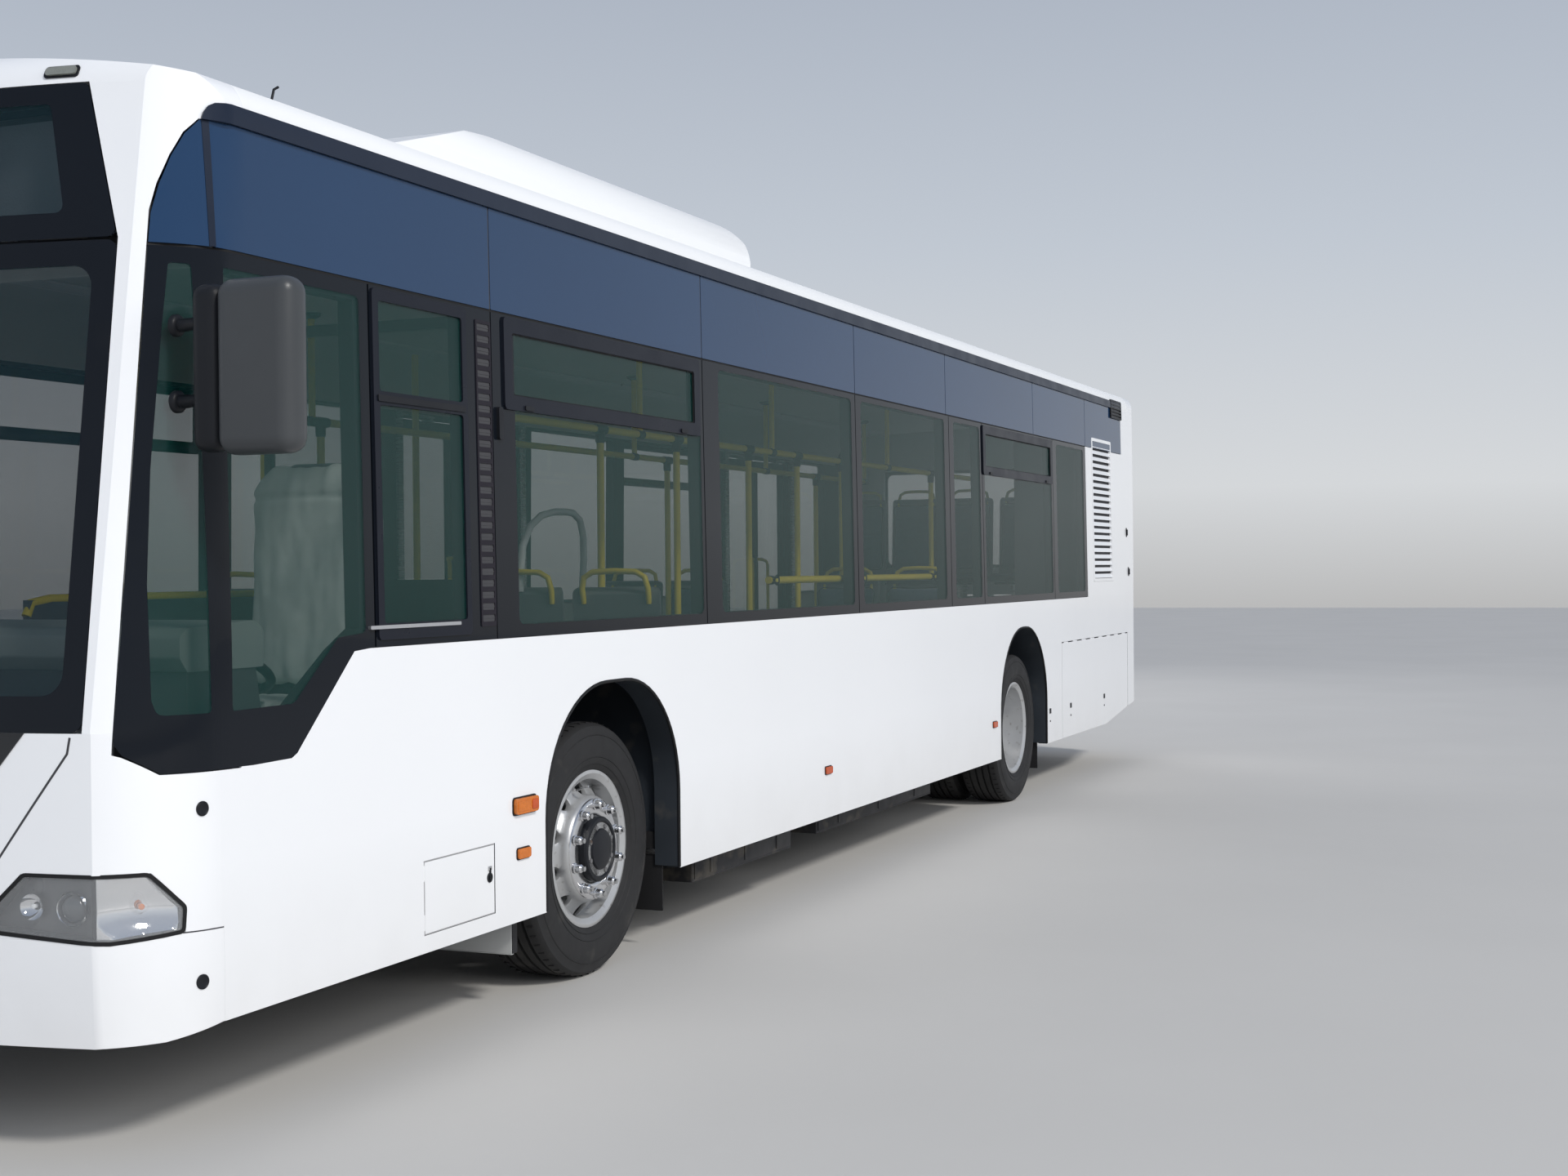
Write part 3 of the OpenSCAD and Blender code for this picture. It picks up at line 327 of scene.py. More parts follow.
# ---------------------------------------------------------------- mesh building
class Mesh:
    """Gathers many shapes into one object."""

    def __init__(self, name):
        self.name, self.v, self.f, self.fm, self.mats = name, [], [], [], []

    def slot(self, mat):
        if mat not in self.mats:
            self.mats.append(mat)
        return self.mats.index(mat)

    def add(self, verts, faces, mat):
        k, n = self.slot(mat), len(self.v)
        self.v.extend([tuple(p) for p in verts])
        self.f.extend([tuple(i + n for i in f) for f in faces])
        self.fm.extend([k] * len(faces))
        return self

    def box(self, lo, hi, mat, r=0.003, seg=2, turn=None, at=None):
        """A box with rounded edges of radius r."""
        lo, hi = np.array(lo, float), np.array(hi, float)
        lo, hi = np.minimum(lo, hi), np.maximum(lo, hi)
        size = hi - lo
        r = min(r, size.min() * 0.45)
        bm = bmesh.new()
        bmesh.ops.create_cube(bm, size=1.0)
        for v in bm.verts:
            v.co = Vector(((v.co.x + 0.5) * size[0] + lo[0], (v.co.y + 0.5) * size[1] + lo[1], (v.co.z + 0.5) * size[2] + lo[2]))
        if r > 0.0002:
            bmesh.ops.bevel(bm, geom=list(bm.edges), offset=r, segments=seg, profile=0.5, affect="EDGES")
        verts = [v.co.copy() for v in bm.verts]
        faces = [[v.index for v in f.verts] for f in bm.faces]
        bm.free()
        if turn is not None:
            c = Vector(at if at is not None else (lo + hi) / 2)
            verts = [turn @ (p - c) + c for p in verts]
        return self.add(verts, faces, mat)

    def tube(self, pts, r, mat, n=12, closed=False, caps=True, flat=1.0):
        """A round bar along the points; r may be a list."""
        pts = [Vector(p) for p in pts]
        rr = r if isinstance(r, (list, tuple)) else [r] * len(pts)
        ring = []
        t_prev, nrm = None, None
        N_ = len(pts)
        for i, p in enumerate(pts):
            if closed:
                t = (pts[(i + 1) % N_] - pts[i - 1]).normalized()
            else:
                t = (pts[min(i + 1, N_ - 1)] - pts[max(i - 1, 0)]).normalized()
            if nrm is None:
                a = Vector((0, 0, 1)) if abs(t.z) < 0.9 else Vector((1, 0, 0))
                nrm = (a - t * a.dot(t)).normalized()
            else:
                nrm = (nrm - t * nrm.dot(t)).normalized()
            b = t.cross(nrm)
            ring.append([p + rr[i] * (math.cos(2 * math.pi * k / n) * nrm + flat * math.sin(2 * math.pi * k / n) * b) for k in range(n)])
        verts = [q for g in ring for q in g]
        faces = []
        for i in range(N_ if closed else N_ - 1):
            j = (i + 1) % N_
            for k in range(n):
                l = (k + 1) % n
                faces.append((i * n + k, i * n + l, j * n + l, j * n + k))
        if not closed and caps:
            faces.append(tuple(range(n - 1, -1, -1)))
            faces.append(tuple((N_ - 1) * n + k for k in range(n)))
        return self.add(verts, faces, mat)

    def lathe(self, prof, centre, axis, mat, n=48, start=0.0):
        """Turns (radius, distance along axis) points about an axis. The profile is closed if it ends where it starts."""
        c, ax = Vector(centre), Vector(axis).normalized()
        a = Vector((0, 0, 1)) if abs(ax.z) < 0.9 else Vector((1, 0, 0))
        e1 = (a - ax * a.dot(ax)).normalized()
        e2 = ax.cross(e1)
        closed = len(prof) > 2 and prof[0] == prof[-1]
        pr = prof[:-1] if closed else prof
        verts, idx = [], []
        for (r, h) in pr:
            if r < 1e-6:
                idx.append([len(verts)] * n)
                verts.append(c + ax * h)
            else:
                idx.append(list(range(len(verts), len(verts) + n)))
                for k in range(n):
                    t = start + 2 * math.pi * k / n
                    verts.append(c + ax * h + r * (math.cos(t) * e1 + math.sin(t) * e2))
        faces = []
        L = len(pr)
        for i in range(L if closed else L - 1):
            j = (i + 1) % L
            for k in range(n):
                l = (k + 1) % n
                q = [idx[i][k], idx[i][l], idx[j][l], idx[j][k]]
                q = [q[z] for z in range(4) if q[z] not in q[:z]]
                if len(q) > 2:
                    faces.append(tuple(q))
        return self.add(verts, faces, mat)

    def extrude(self, outline, make, h0, h1, mat):
        """A closed outline of (u, v) points, drawn by make(u, v, h) at h0 and h1."""
        n = len(outline)
        verts = [make(u, v, h0) for u, v in outline] + [make(u, v, h1) for u, v in outline]
        faces = [tuple(range(n - 1, -1, -1)), tuple(range(n, 2 * n))]
        for i in range(n):
            j = (i + 1) % n
            faces.append((i, j, n + j, n + i))
        return self.add(verts, faces, mat)

    def patch(self, outer, surf, out, inn, mat, holes=(), grid=None):
        """A sheet that follows surf, between out above it and inn below it, with holes."""
        pts, faces = flat_patch(outer, holes, grid)
        top, bot = [], []
        for (u, v) in pts:
            p, n = numeric_normal(surf, u, v)
            top.append(p + n * out)
            bot.append(p - n * inn)
        k = len(pts)
        edges = {}
        for f in faces:
            for i in range(3):
                e = (f[i], f[(i + 1) % 3])
                if (e[1], e[0]) in edges:
                    edges.pop((e[1], e[0]))
                else:
                    edges[e] = 1
        fs = list(faces) + [tuple(i + k for i in reversed(f)) for f in faces]
        for a, b in edges:
            fs.append((b, a, a + k, b + k))
        return self.add(top + bot, fs, mat)

    def done(self, body="body", slot=None, smooth=35, bevel=0, replaces=(), subsurf=0):
        me = bpy.data.meshes.new(self.name)
        me.from_pydata(self.v, [], self.f)
        for mt in self.mats:
            me.materials.append(mt)
        me.polygons.foreach_set("material_index", self.fm)
        me.validate()
        o = bpy.data.objects.new(self.name, me)
        COLL.objects.link(o)
        bm = bmesh.new()
        bm.from_mesh(me)
        bmesh.ops.remove_doubles(bm, verts=bm.verts, dist=1e-6)
        bmesh.ops.recalc_face_normals(bm, faces=bm.faces)
        bm.to_mesh(me)
        bm.free()
        if smooth:
            me.polygons.foreach_set("use_smooth", [True] * len(me.polygons))
            me.set_sharp_from_angle(angle=math.radians(smooth))
        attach(o, body)
        if replaces:
            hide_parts(*replaces)
        return o


def inside(pt, poly):
    x, y = pt
    c = False
    n = len(poly)
    j = n - 1
    for i in range(n):
        xi, yi = poly[i]
        xj, yj = poly[j]
        if (yi > y) != (yj > y) and x < (xj - xi) * (y - yi) / (yj - yi) + xi:
            c = not c
        j = i
    return c


def densify(poly, step):
    out = []
    n = len(poly)
    for i in range(n):
        a, b = poly[i], poly[(i + 1) % n]
        d = math.hypot(b[0] - a[0], b[1] - a[1])
        k = max(1, int(math.ceil(d / step)))
        for t in range(k):
            out.append((a[0] + (b[0] - a[0]) * t / k, a[1] + (b[1] - a[1]) * t / k))
    return out


def flat_patch(outer, holes, grid):
    loops = [outer] + list(holes)
    if grid:
        loops = [densify(l, grid) for l in loops]
    verts, edges = [], []
    for l in loops:
        s = len(verts)
        verts += [Vector(p) for p in l]
        edges += [(s + i, s + (i + 1) % len(l)) for i in range(len(l))]
    if grid:
        us = [p[0] for p in loops[0]]
        vs = [p[1] for p in loops[0]]
        nu = int((max(us) - min(us)) / grid)
        nv = int((max(vs) - min(vs)) / grid)
        for i in range(1, nu + 1):
            for j in range(1, nv + 1):
                p = (min(us) + (max(us) - min(us)) * i / (nu + 1), min(vs) + (max(vs) - min(vs)) * j / (nv + 1))
                if inside(p, loops[0]) and not any(inside(p, h) for h in loops[1:]):
                    verts.append(Vector(p))
    ov, oe, of_, _, _, _ = delaunay_2d_cdt(verts, edges, [], 0, 1e-6)
    faces = []
    for f in of_:
        c = sum((Vector(ov[i]) for i in f), Vector((0, 0))) / len(f)
        if inside(c, loops[0]) and not any(inside(c, h) for h in loops[1:]):
            a, b, d = (ov[i] for i in f)
            if (b[0] - a[0]) * (d[1] - a[1]) - (b[1] - a[1]) * (d[0] - a[0]) < 0:
                f = list(reversed(f))
            faces.append(tuple(f))
    return [tuple(p) for p in ov], faces


def rounded(poly, r, n=5):
    """Rounds the corners of a polygon; r is one radius or one per corner."""
    out = []
    k = len(poly)
    for i in range(k):
        ri = r[i] if isinstance(r, (list, tuple)) else r
        p0, p, p1 = Vector(poly[i - 1]), Vector(poly[i]), Vector(poly[(i + 1) % k])
        a, b = (p0 - p), (p1 - p)
        la, lb = a.length, b.length
        if ri <= 0 or la < 1e-9 or lb < 1e-9:
            out.append(tuple(p))
            continue
        a.normalize()
        b.normalize()
        ang = a.angle(b)
        if ang > math.pi - 0.02:
            out.append(tuple(p))
            continue
        d = min(ri / math.tan(ang / 2), la * 0.49, lb * 0.49)
        rr = d * math.tan(ang / 2)
        c = p + (a + b).normalized() * (rr / math.sin(ang / 2))
        s, e = p + a * d, p + b * d
        v0, v1 = s - c, e - c
        a0 = math.atan2(v0.y, v0.x)
        da = math.atan2(v1.y, v1.x) - a0
        while da > math.pi:
            da -= 2 * math.pi
        while da < -math.pi:
            da += 2 * math.pi
        for t in range(n + 1):
            th = a0 + da * t / n
            out.append((c.x + rr * math.cos(th), c.y + rr * math.sin(th)))
    return out


def rect(u0, v0, u1, v1, r=0.0, n=5):
    p = [(min(u0, u1), min(v0, v1)), (max(u0, u1), min(v0, v1)), (max(u0, u1), max(v0, v1)), (min(u0, u1), max(v0, v1))]
    return rounded(p, r, n) if r > 0 else p


def ring(cx, cy, r, n=24):
    return [(cx + r * math.cos(2 * math.pi * k / n), cy + r * math.sin(2 * math.pi * k / n)) for k in range(n)]


def ribbon(pts, w, closed=False):
    """Outline of a line of width w through 2-D points (open)."""
    P = [Vector(p) for p in pts]
    L, R_ = [], []
    for i, p in enumerate(P):
        d0 = (p - P[i - 1]).normalized() if i > 0 else (P[i + 1] - p).normalized()
        d1 = (P[i + 1] - p).normalized() if i < len(P) - 1 else d0
        t = (d0 + d1)
        t = t.normalized() if t.length > 1e-6 else d0
        nrm = Vector((-t.y, t.x))
        s = 1 / max(0.4, abs(nrm.dot(Vector((-d0.y, d0.x)))))
        L.append(tuple(p + nrm * w / 2 * s))
        R_.append(tuple(p - nrm * w / 2 * s))
    return R_ + L[::-1]


def offset(poly, d):
    """Moves a counter-clockwise polygon's sides inward by d (outward if d < 0)."""
    out = []
    n = len(poly)
    area = sum(poly[i][0] * poly[(i + 1) % n][1] - poly[(i + 1) % n][0] * poly[i][1] for i in range(n))
    s = 1 if area > 0 else -1
    for i in range(n):
        p0, p, p1 = Vector(poly[i - 1]), Vector(poly[i]), Vector(poly[(i + 1) % n])
        e0, e1 = (p - p0), (p1 - p)
        if e0.length < 1e-9 or e1.length < 1e-9:
            continue
        e0.normalize()
        e1.normalize()
        n0, n1 = Vector((-e0.y, e0.x)) * s, Vector((-e1.y, e1.x)) * s
        b = n0 + n1
        if b.length < 1e-6:
            b = n0
        b.normalize()
        out.append(tuple(p + b * d / max(0.3, b.dot(n0))))
    return out


def on_left(pts):
    """(x, z) points as (u, v) of the left side."""
    return [(-x, z) for x, z in pts][::-1]


def finish_cad(name, mat, bevel=0.003, seg=2):
    """Keeps a construction node and gives it its material and softened edges."""
    o = NODES[name]
    o.data.materials.clear()
    o.data.materials.append(mat)
    if bevel > 0:
        w = o.modifiers.new("weld", "WELD")
        w.merge_threshold = 0.00002
        b = o.modifiers.new("edges", "BEVEL")
        b.width = bevel
        b.segments = seg
        b.limit_method = "ANGLE"
        b.angle_limit = math.radians(38)
        b.harden_normals = False
        b.use_clamp_overlap = True
        if name == "front_bumper":
            wn = o.modifiers.new("even_shading", "WEIGHTED_NORMAL")
            wn.weight = 90
            wn.keep_sharp = True
    return o


# ================================================================ body shell
for n in ("left_side_wall", "right_side_wall", "front_mask", "front_bumper", "rear_body", "engine_lid", "service_flap", "side_flap"):
    finish_cad(n, M["white"], {"front_bumper": 0.012, "engine_lid": 0.003, "service_flap": 0.0015, "side_flap": 0.002}.get(n, 0), 3)
for n in ("left_side_wall", "right_side_wall"):
    me = NODES[n].data
    me.materials.append(M["wall_inner"])
    for f in me.polygons:
        c = NODES[n].matrix_world @ f.center
        if abs(c.y) < side_y(c.z) - 0.006 and c.z > 0.34:
            f.material_index = 1
finish_cad("roof_shell", M["white_top"], 0)
finish_cad("roof_unit", M["white_top"], 0.012, 3)
finish_cad("floor", M["vinyl"], 0.0015, 1)
finish_cad("floor_boxes", M["vinyl"], 0.0015, 1)
finish_cad("underframe", M["chassis"], 0.005)
finish_cad("engine", M["iron"], 0.02, 3)
finish_cad("axles", M["chassis"], 0.004)
finish_cad("knuckle_left", M["iron"], 0.003)
finish_cad("knuckle_right", M["iron"], 0.003)
finish_cad("grab_rails", M["yellow"], 0)
finish_cad("driver_cab", M["desk"], 0.008, 3)
for n in ("front_left_rim", "front_right_rim", "rear_left_rims", "rear_right_rims"):
    finish_cad(n, M["rim"], 0.0025, 2)
for d in DOORS:
    for e in "ab":
        finish_cad(f"{d}_door_post_{e}", M["steel"], 0.002)

# ================================================================ glass
T = 0.007


def glazing(name, items, body="body", replaces=()):
    """items: (surface, outer outline, clear holes, clear material, border material, grid)."""
    frit, clear = Mesh(name + "_border"), Mesh(name + "_glass")
    any_clear = False
    for surf, outer, holes, cm, fm, grid in items:
        frit.patch(outer, surf, 0.0, T, fm, holes=holes, grid=grid)
        for h in holes:
            clear.patch(h, surf, -0.0004, T - 0.0008, cm, grid=grid)
            any_clear = True
    f = frit.done(body, "dark_glass", replaces=replaces)
    c = clear.done(body, "dark_glass") if any_clear else None
    return f, c


left_panes = [(4.826, 4.124), (4.116, 2.434), (2.426, 0.604), (0.596, -0.946), (-0.954, -1.606), (-1.614, -3.296), (-3.304, -4.250)]
left_open = [(4.780, 4.290), (3.970, 2.460), (2.270, 0.660), (0.520, -0.860), (-1.040, -1.560), (-1.660, -3.260), (-3.400, -4.180)]
right_panes = [(4.030, 2.434), (2.426, 1.000), (-0.300, -1.606), (-1.614, -3.250), (-4.545, -5.400)]
right_open = [(3.960, 2.500), (2.340, 1.160), (-0.460, -1.540), (-1.680, -3.120), (-4.690, -5.320)]
covers = [(5.528, 4.124), (4.116, 2.434), (2.426, 0.604), (0.596, -0.896), (-0.904, -2.806), (-2.814, -4.250), (-4.258, -5.440)]
Z0, Z1 = 1.302, 2.396

items = []
for (a, b), (c, d) in zip(left_panes, left_open):
    items.append((LEFT, on_left(rect(b, Z0, a, Z1)), [on_left(rect(d, 1.345, c, 2.37, 0.03))], M["glass"], M["frit"], None))
for (a, b), (c, d) in zip(right_panes, right_open):
    items.append((RIGHT, rect(b, Z0, a, Z1), [rect(d, 1.345, c, 2.37, 0.03)], M["glass"], M["frit"], None))


def pillar_x(z, back=0.0):
    """Where the front pillar's edge lies on the side surface at height z."""
    x0 = 5.829 - math.tan(math.radians(6.6)) * (z - 1.085)
    t35 = math.tan(math.radians(35))
    lo, hi = x0 - 0.08, x0 + 0.05
    for _ in range(40):
        x = (lo + hi) / 2
        if left_y(x, z) - (1.152 + t35 * (x - x0)) > 0:
            lo = x
        else:
            hi = x
    return lo - back


PILLAR = [(pillar_x(z, 0.0005), z) for z in (1.090, 1.120, 1.200, 1.350, 1.500, 1.650, 1.800, 1.950, 2.100, 2.250, 2.396)]
# driver's side glass with its dropped front
quarter = [(4.834, 1.302), (4.940, 1.294), (5.204, 1.036), (5.222, 1.018), (5.248, 1.006), (5.420, 1.003), (5.740, 1.010), (5.8143, 1.060)] + PILLAR + [(4.834, 2.396)]
quarter_rear = rounded([(4.880, 1.347), (5.020, 1.338), (5.235, 1.159), (5.505, 1.157), (5.505, 2.352), (4.880, 2.352)], [0.02, 0.04, 0.04, 0.01, 0.01, 0.02], 4)
quarter_front = rounded([(5.590, 1.158), (5.742, 1.160), (5.752, 1.200), (5.740, 1.500), (5.712, 1.800), (5.664, 2.170), (5.638, 2.352), (5.590, 2.352)],
                        [0.01, 0.02, 0.02, 0, 0, 0, 0.01, 0.01], 4)
items.append((LEFT, on_left(rounded(quarter, [0, 0.05, 0.01, 0.01, 0.01, 0.05, 0.05, 0.03] + [0] * 12, 4)), [on_left(quarter_rear), on_left(quarter_front)], M["glass"], M["frit"], 0.04))
rq = [(5.290, 1.0055), (5.420, 1.003), (5.740, 1.010), (5.8143, 1.060)] + PILLAR + [(5.290, 2.396)]
rqh = rounded([(5.345, 1.093), (5.440, 1.090), (5.725, 1.098), (5.748, 1.140), (5.735, 1.500), (5.705, 1.800), (5.655, 2.170), (5.628, 2.345), (5.345, 2.345)], 0.03, 4)
items.append((RIGHT, rounded(rq, [0, 0.05, 0.05, 0.03] + [0] * 12, 4), [rqh], M["glass"], M["frit"], 0.04))
glazing("side", items, replaces=("windows",))

cov = Mesh("side_cover_panels")
for a, b in covers:
    g = 0.07 if a > 5 else None
    cov.patch(on_left(rect(b, 2.404, a, 2.744, 0.004)), LEFT, 0, T, M["cover"], grid=g)
    cov.patch(rect(b, 2.404, a, 2.744, 0.004), RIGHT, 0, T, M["cover"], grid=g)
arch_cover = [(5.536, 2.404), (pillar_x(2.404, 0.001), 2.404), (pillar_x(2.417, 0.001), 2.417), (5.659, 2.483), (5.639, 2.561), (5.611, 2.640), (5.580, 2.703), (5.545, 2.744), (5.536, 2.744)]
cov.patch(on_left(arch_cover), LEFT, 0, T, M["cover"], grid=0.04)
cov.patch(arch_cover, RIGHT, 0, T, M["cover"], grid=0.04)
both_sides_gap = [(LEFT, rect(-5.541, 2.405, -5.523, 2.7435)), (RIGHT, rect(5.523, 2.405, 5.541, 2.7435))]
for sf, q in both_sides_gap:
    cov.patch(q, sf, 0.0015, 0.0, M["strip"], grid=0.04)
cov.done("body", "dark_glass")

# windscreen and destination glass
ws = [(-1.082, 1.122), (1.082, 1.122), (1.0745, 2.412), (-1.0745, 2.412)]
ws_hole = rounded([(-1.020, 1.215), (1.020, 1.215), (1.012, 2.345), (-1.012, 2.345)], 0.06, 6)
sg = [(-1.072, 2.420), (1.072, 2.420), (0.955, 2.842), (-0.955, 2.842)]
sg_hole = rounded([(-0.915, 2.490), (0.915, 2.490), (0.850, 2.790), (-0.850, 2.790)], 0.02, 4)
glazing("windscreen", [(FRONT, rounded(ws, 0.03), [ws_hole], M["glass_front"], M["frit"], 0.06),
                       (FRONT, rounded(sg, 0.02), [sg_hole], M["glass_front"], M["frit"], 0.06)], replaces=("windscreen",))
# rear window
glazing("rear", [(REAR, rect(-0.95, 1.47, 0.95, 2.39, 0.05), [rect(-0.87, 1.545, 0.87, 2.315, 0.05)], M["glass"], M["frit"], None)])

# black panel under the windscreen that carries the wipers
wp = Mesh("wiper_panel")
wpo = rounded([(-0.925, 1.121), (-0.850, 1.030), (-0.760, 0.962), (0.760, 0.962), (0.850, 1.030), (0.925, 1.121)], [0, 0.03, 0.05, 0.05, 0.03, 0], 4)
wp.patch(wpo, FRONT, 0.0035, 0.0, M["gloss_black"], grid=0.05)
wp.done("body")

# gutter strips over the covers, and the small louvred piece at the rear end of them
gs = Mesh("gutter_strips")
for SURF, f in ((LEFT, on_left), (RIGHT, lambda p: p)):
    gs.patch(f([(-5.44, 2.7445), (5.10, 2.7445), (5.10, 2.797), (-5.43, 2.797)]), SURF, 0.010, 0.002, M["strip"])
    gs.patch(f([(5.0995, 2.7445), (5.543, 2.7445), (5.537, 2.764), (5.525, 2.783), (5.508, 2.793), (5.480, 2.797), (5.0995, 2.797)]), SURF, 0.010, 0.004, M["strip"], grid=0.018)
gs.done("body")

# ================================================================ wheels
def tyre_mesh(name, cx, cy, side, body, replaces, ys):
    o = Mesh(name)
    for y0 in ys:
        prof = [(0.2866, -0.105), (0.3005, -0.119), (0.316, -0.128), (0.334, -0.1335), (0.352, -0.1365), (0.375, -0.138), (0.398, -0.1370),
                (0.420, -0.134), (0.437, -0.130), (0.452, -0.1245), (0.4565, -0.1245), (0.4610, -0.1235), (0.4660, -0.118), (0.4715, -0.107), (0.4745, -0.098)]
        tread = []
        grooves = (-0.066, -0.022, 0.022, 0.066)
        for g in grooves:
            tread += [(0.4775, g - 0.0065), (0.4635, g - 0.0045), (0.4635, g + 0.0045), (0.4775, g + 0.0065)]
        full = prof + tread + [(r, -h) for r, h in prof[::-1]]
        full.append(full[0])
        o.lathe(full, (cx, y0, TYRE_R), (0, 1, 0), M["tyre"], n=120)
        # thin concentric ribs on both sidewalls
        for rr in (0.318, 0.345, 0.428):
            for s in (-1, 1):
                yb = s * {0.318: 0.1295, 0.345: 0.1362, 0.428: 0.1332}[rr]
                o.lathe([(rr - 0.003, yb - s * 0.002), (rr, yb + s * 0.0016), (rr + 0.003, yb - s * 0.002)], (cx, y0, TYRE_R), (0, 1, 0), M["tyre"], n=96)
        # sipes on the outer shoulders: thin strips of blacker rubber set just proud of the tread, whose dark colour is
        # painted shade standing for shallow cuts
        for k in range(64):
            a = 2 * math.pi * k / 64
            for s in (-1, 1):
                R_ = Matrix.Rotation(a, 3, "Y")
                lo, hi = Vector((-0.0022, s * 0.080, 0.4735)), Vector((0.0022, s * 0.104, 0.4778))
                vs = [Vector((x, y, z)) for x in (lo.x, hi.x) for y in (lo.y, hi.y) for z in (lo.z, hi.z)]
                vs = [R_ @ p + Vector((cx, y0, TYRE_R)) for p in vs]
                o.add(vs, [(0, 1, 3, 2), (4, 6, 7, 5), (0, 4, 5, 1), (2, 3, 7, 6), (0, 2, 6, 4), (1, 5, 7, 3)], M["rubber"])
    return o.done(body, "tyre_rubber", smooth=28, replaces=replaces)


tyre_mesh("front_left_tyre_tread", AXLE_F, 0, 1, "wheel_front_left", ("front_left_tyre",), (1.050,))
tyre_mesh("front_right_tyre_tread", AXLE_F, 0, -1, "wheel_front_right", ("front_right_tyre",), (-1.050,))
tyre_mesh("rear_left_tyres_tread", AXLE_R, 0, 1, "wheels_rear_left", ("rear_left_tyres",), (1.0745, 0.7595))
tyre_mesh("rear_right_tyres_tread", AXLE_R, 0, -1, "wheels_rear_right", ("rear_right_tyres",), (-1.0745, -0.7595))


def wheel_parts(name, cx, cy, s, body, front):
    """Hub cap, nut ring and nuts on the outer face; cy is the disc's outer face, s points outward."""
    o = Mesh(name)
    c = (cx, cy, TYRE_R)
    ax = (0, s, 0)
    if front:
        o.lathe([(0.124, 0.0005), (0.130, 0.006), (0.142, 0.009), (0.168, 0.010), (0.180, 0.009), (0.188, 0.005), (0.1905, 0.0005)], c, ax, M["nut"], n=72)
        nut_h, nut_r = 0.009, 0.0165
    else:
        nut_h, nut_r = 0.0005, 0.0165
    for k in range(10):
        t = 2 * math.pi * k / 10
        p = Vector((cx + 0.1675 * math.sin(t), cy, TYRE_R + 0.1675 * math.cos(t)))
        o.lathe([(0.021, nut_h - 0.001), (0.021, nut_h + 0.004), (nut_r, nut_h + 0.006), (nut_r, nut_h + 0.025), (0.011, nut_h + 0.031), (0.0, nut_h + 0.031)], p, ax, M["nut"], n=6 * 3)
        o.lathe([(0.0095, nut_h + 0.030), (0.0095, nut_h + 0.040), (0.0, nut_h + 0.041)], p, ax, M["steel"], n=14)
    if front:
        o.lathe([(0.122, -0.002), (0.123, 0.026), (0.118, 0.034), (0.106, 0.036), (0.100, 0.030), (0.078, 0.030), (0.074, 0.038), (0.046, 0.044), (0.0, 0.045)], c, ax, M["black"], n=64)
        for k in range(8):
            t = 2 * math.pi * (k + 0.5) / 8
            p = Vector((cx + 0.089 * math.sin(t), cy, TYRE_R + 0.089 * math.cos(t)))
            o.lathe([(0.0095, 0.029), (0.0095, 0.036), (0.0, 0.0365)], p, ax, M["iron"], n=6)
    else:
        o.lathe([(0.128, -0.002), (0.128, 0.030), (0.118, 0.046), (0.100, 0.050), (0.098, 0.110), (0.086, 0.122), (0.0, 0.124)], c, ax, M["rim"], n=56)
        for k in range(8):
            t = 2 * math.pi * (k + 0.5) / 8
            p = Vector((cx + 0.112 * math.sin(t), cy, TYRE_R + 0.112 * math.cos(t)))
            o.lathe([(0.0085, 0.046), (0.0085, 0.055), (0.0, 0.0555)], p, ax, M["steel"], n=6)
    # valve
    p0 = Vector((cx + 0.238 * math.sin(0.32), cy - s * 0.03, TYRE_R + 0.238 * math.cos(0.32)))
    o.tube([p0, p0 + Vector((0.004, s * 0.03, 0.012)), p0 + Vector((0.006, s * 0.055, 0.018))], 0.004, M["steel"], n=8)
    return o.done(body, "rim_silver", smooth=30)


wheel_parts("front_left_hub", AXLE_F, 1.180, 1, "wheel_front_left", True)
wheel_parts("front_right_hub", AXLE_F, -1.180, -1, "wheel_front_right", True)
wheel_parts("rear_left_hub", AXLE_R, 0.929, 1, "wheels_rear_left", False)
wheel_parts("rear_right_hub", AXLE_R, -0.929, -1, "wheels_rear_right", False)

# ================================================================ lamps
Y_CR = 1.11
TH0 = math.asin((Y_CR - (HW - CR)) / CR)


def WRAP(u, v):
    """The front and its corners in one sheet: u runs along the body from the middle."""
    if abs(u) <= Y_CR:
        return (front_x(u, v), u, v)
    s = 1 if u > 0 else -1
    t = TH0 + (abs(u) - Y_CR) / CR
    c = CA if v > CREASE else 1.0
    k = max(0.0, v - CREASE) * TA
    xc = XF - (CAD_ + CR) / c - k
    if t <= math.pi / 2:
        return (xc + CR * math.cos(t) / c, s * (HW - CR + CR * math.sin(t)), v)
    return (xc - (t - math.pi / 2) * CR, s * side_y(v), v)


def deep(surf, depth):
    """A sheet that runs below surf, by depth(u, v)."""
    def g(u, v):
        p, n = numeric_normal(surf, u, v)
        return tuple(p - n * depth(u, v))
    return g


def both_sides(mesh, poly, out, inn, mat, holes=(), grid=None, sides=(1, -1)):
    """The same (x, z) outline on the left and right sides."""
    for s in sides:
        if s > 0:
            mesh.patch(on_left(poly), LEFT, out, inn, mat, holes=[on_left(h) for h in holes], grid=grid)
        else:
            mesh.patch(poly, RIGHT, out, inn, mat, holes=holes, grid=grid)


def cut_u(poly, u0, keep):
    """The part of a polygon on one side of u = u0; keep is 1 for greater, -1 for smaller."""
    out = []
    for i, p in enumerate(poly):
        q = poly[(i + 1) % len(poly)]
        a, b = keep * (p[0] - u0), keep * (q[0] - u0)
        if a >= 0:
            out.append(p)
        if a * b < 0:
            t = a / (a - b)
            out.append((p[0] + (q[0] - p[0]) * t, p[1] + (q[1] - p[1]) * t))
    return out


def flip_u(poly, s):
    return list(poly) if s > 0 else [(-u, v) for u, v in poly][::-1]


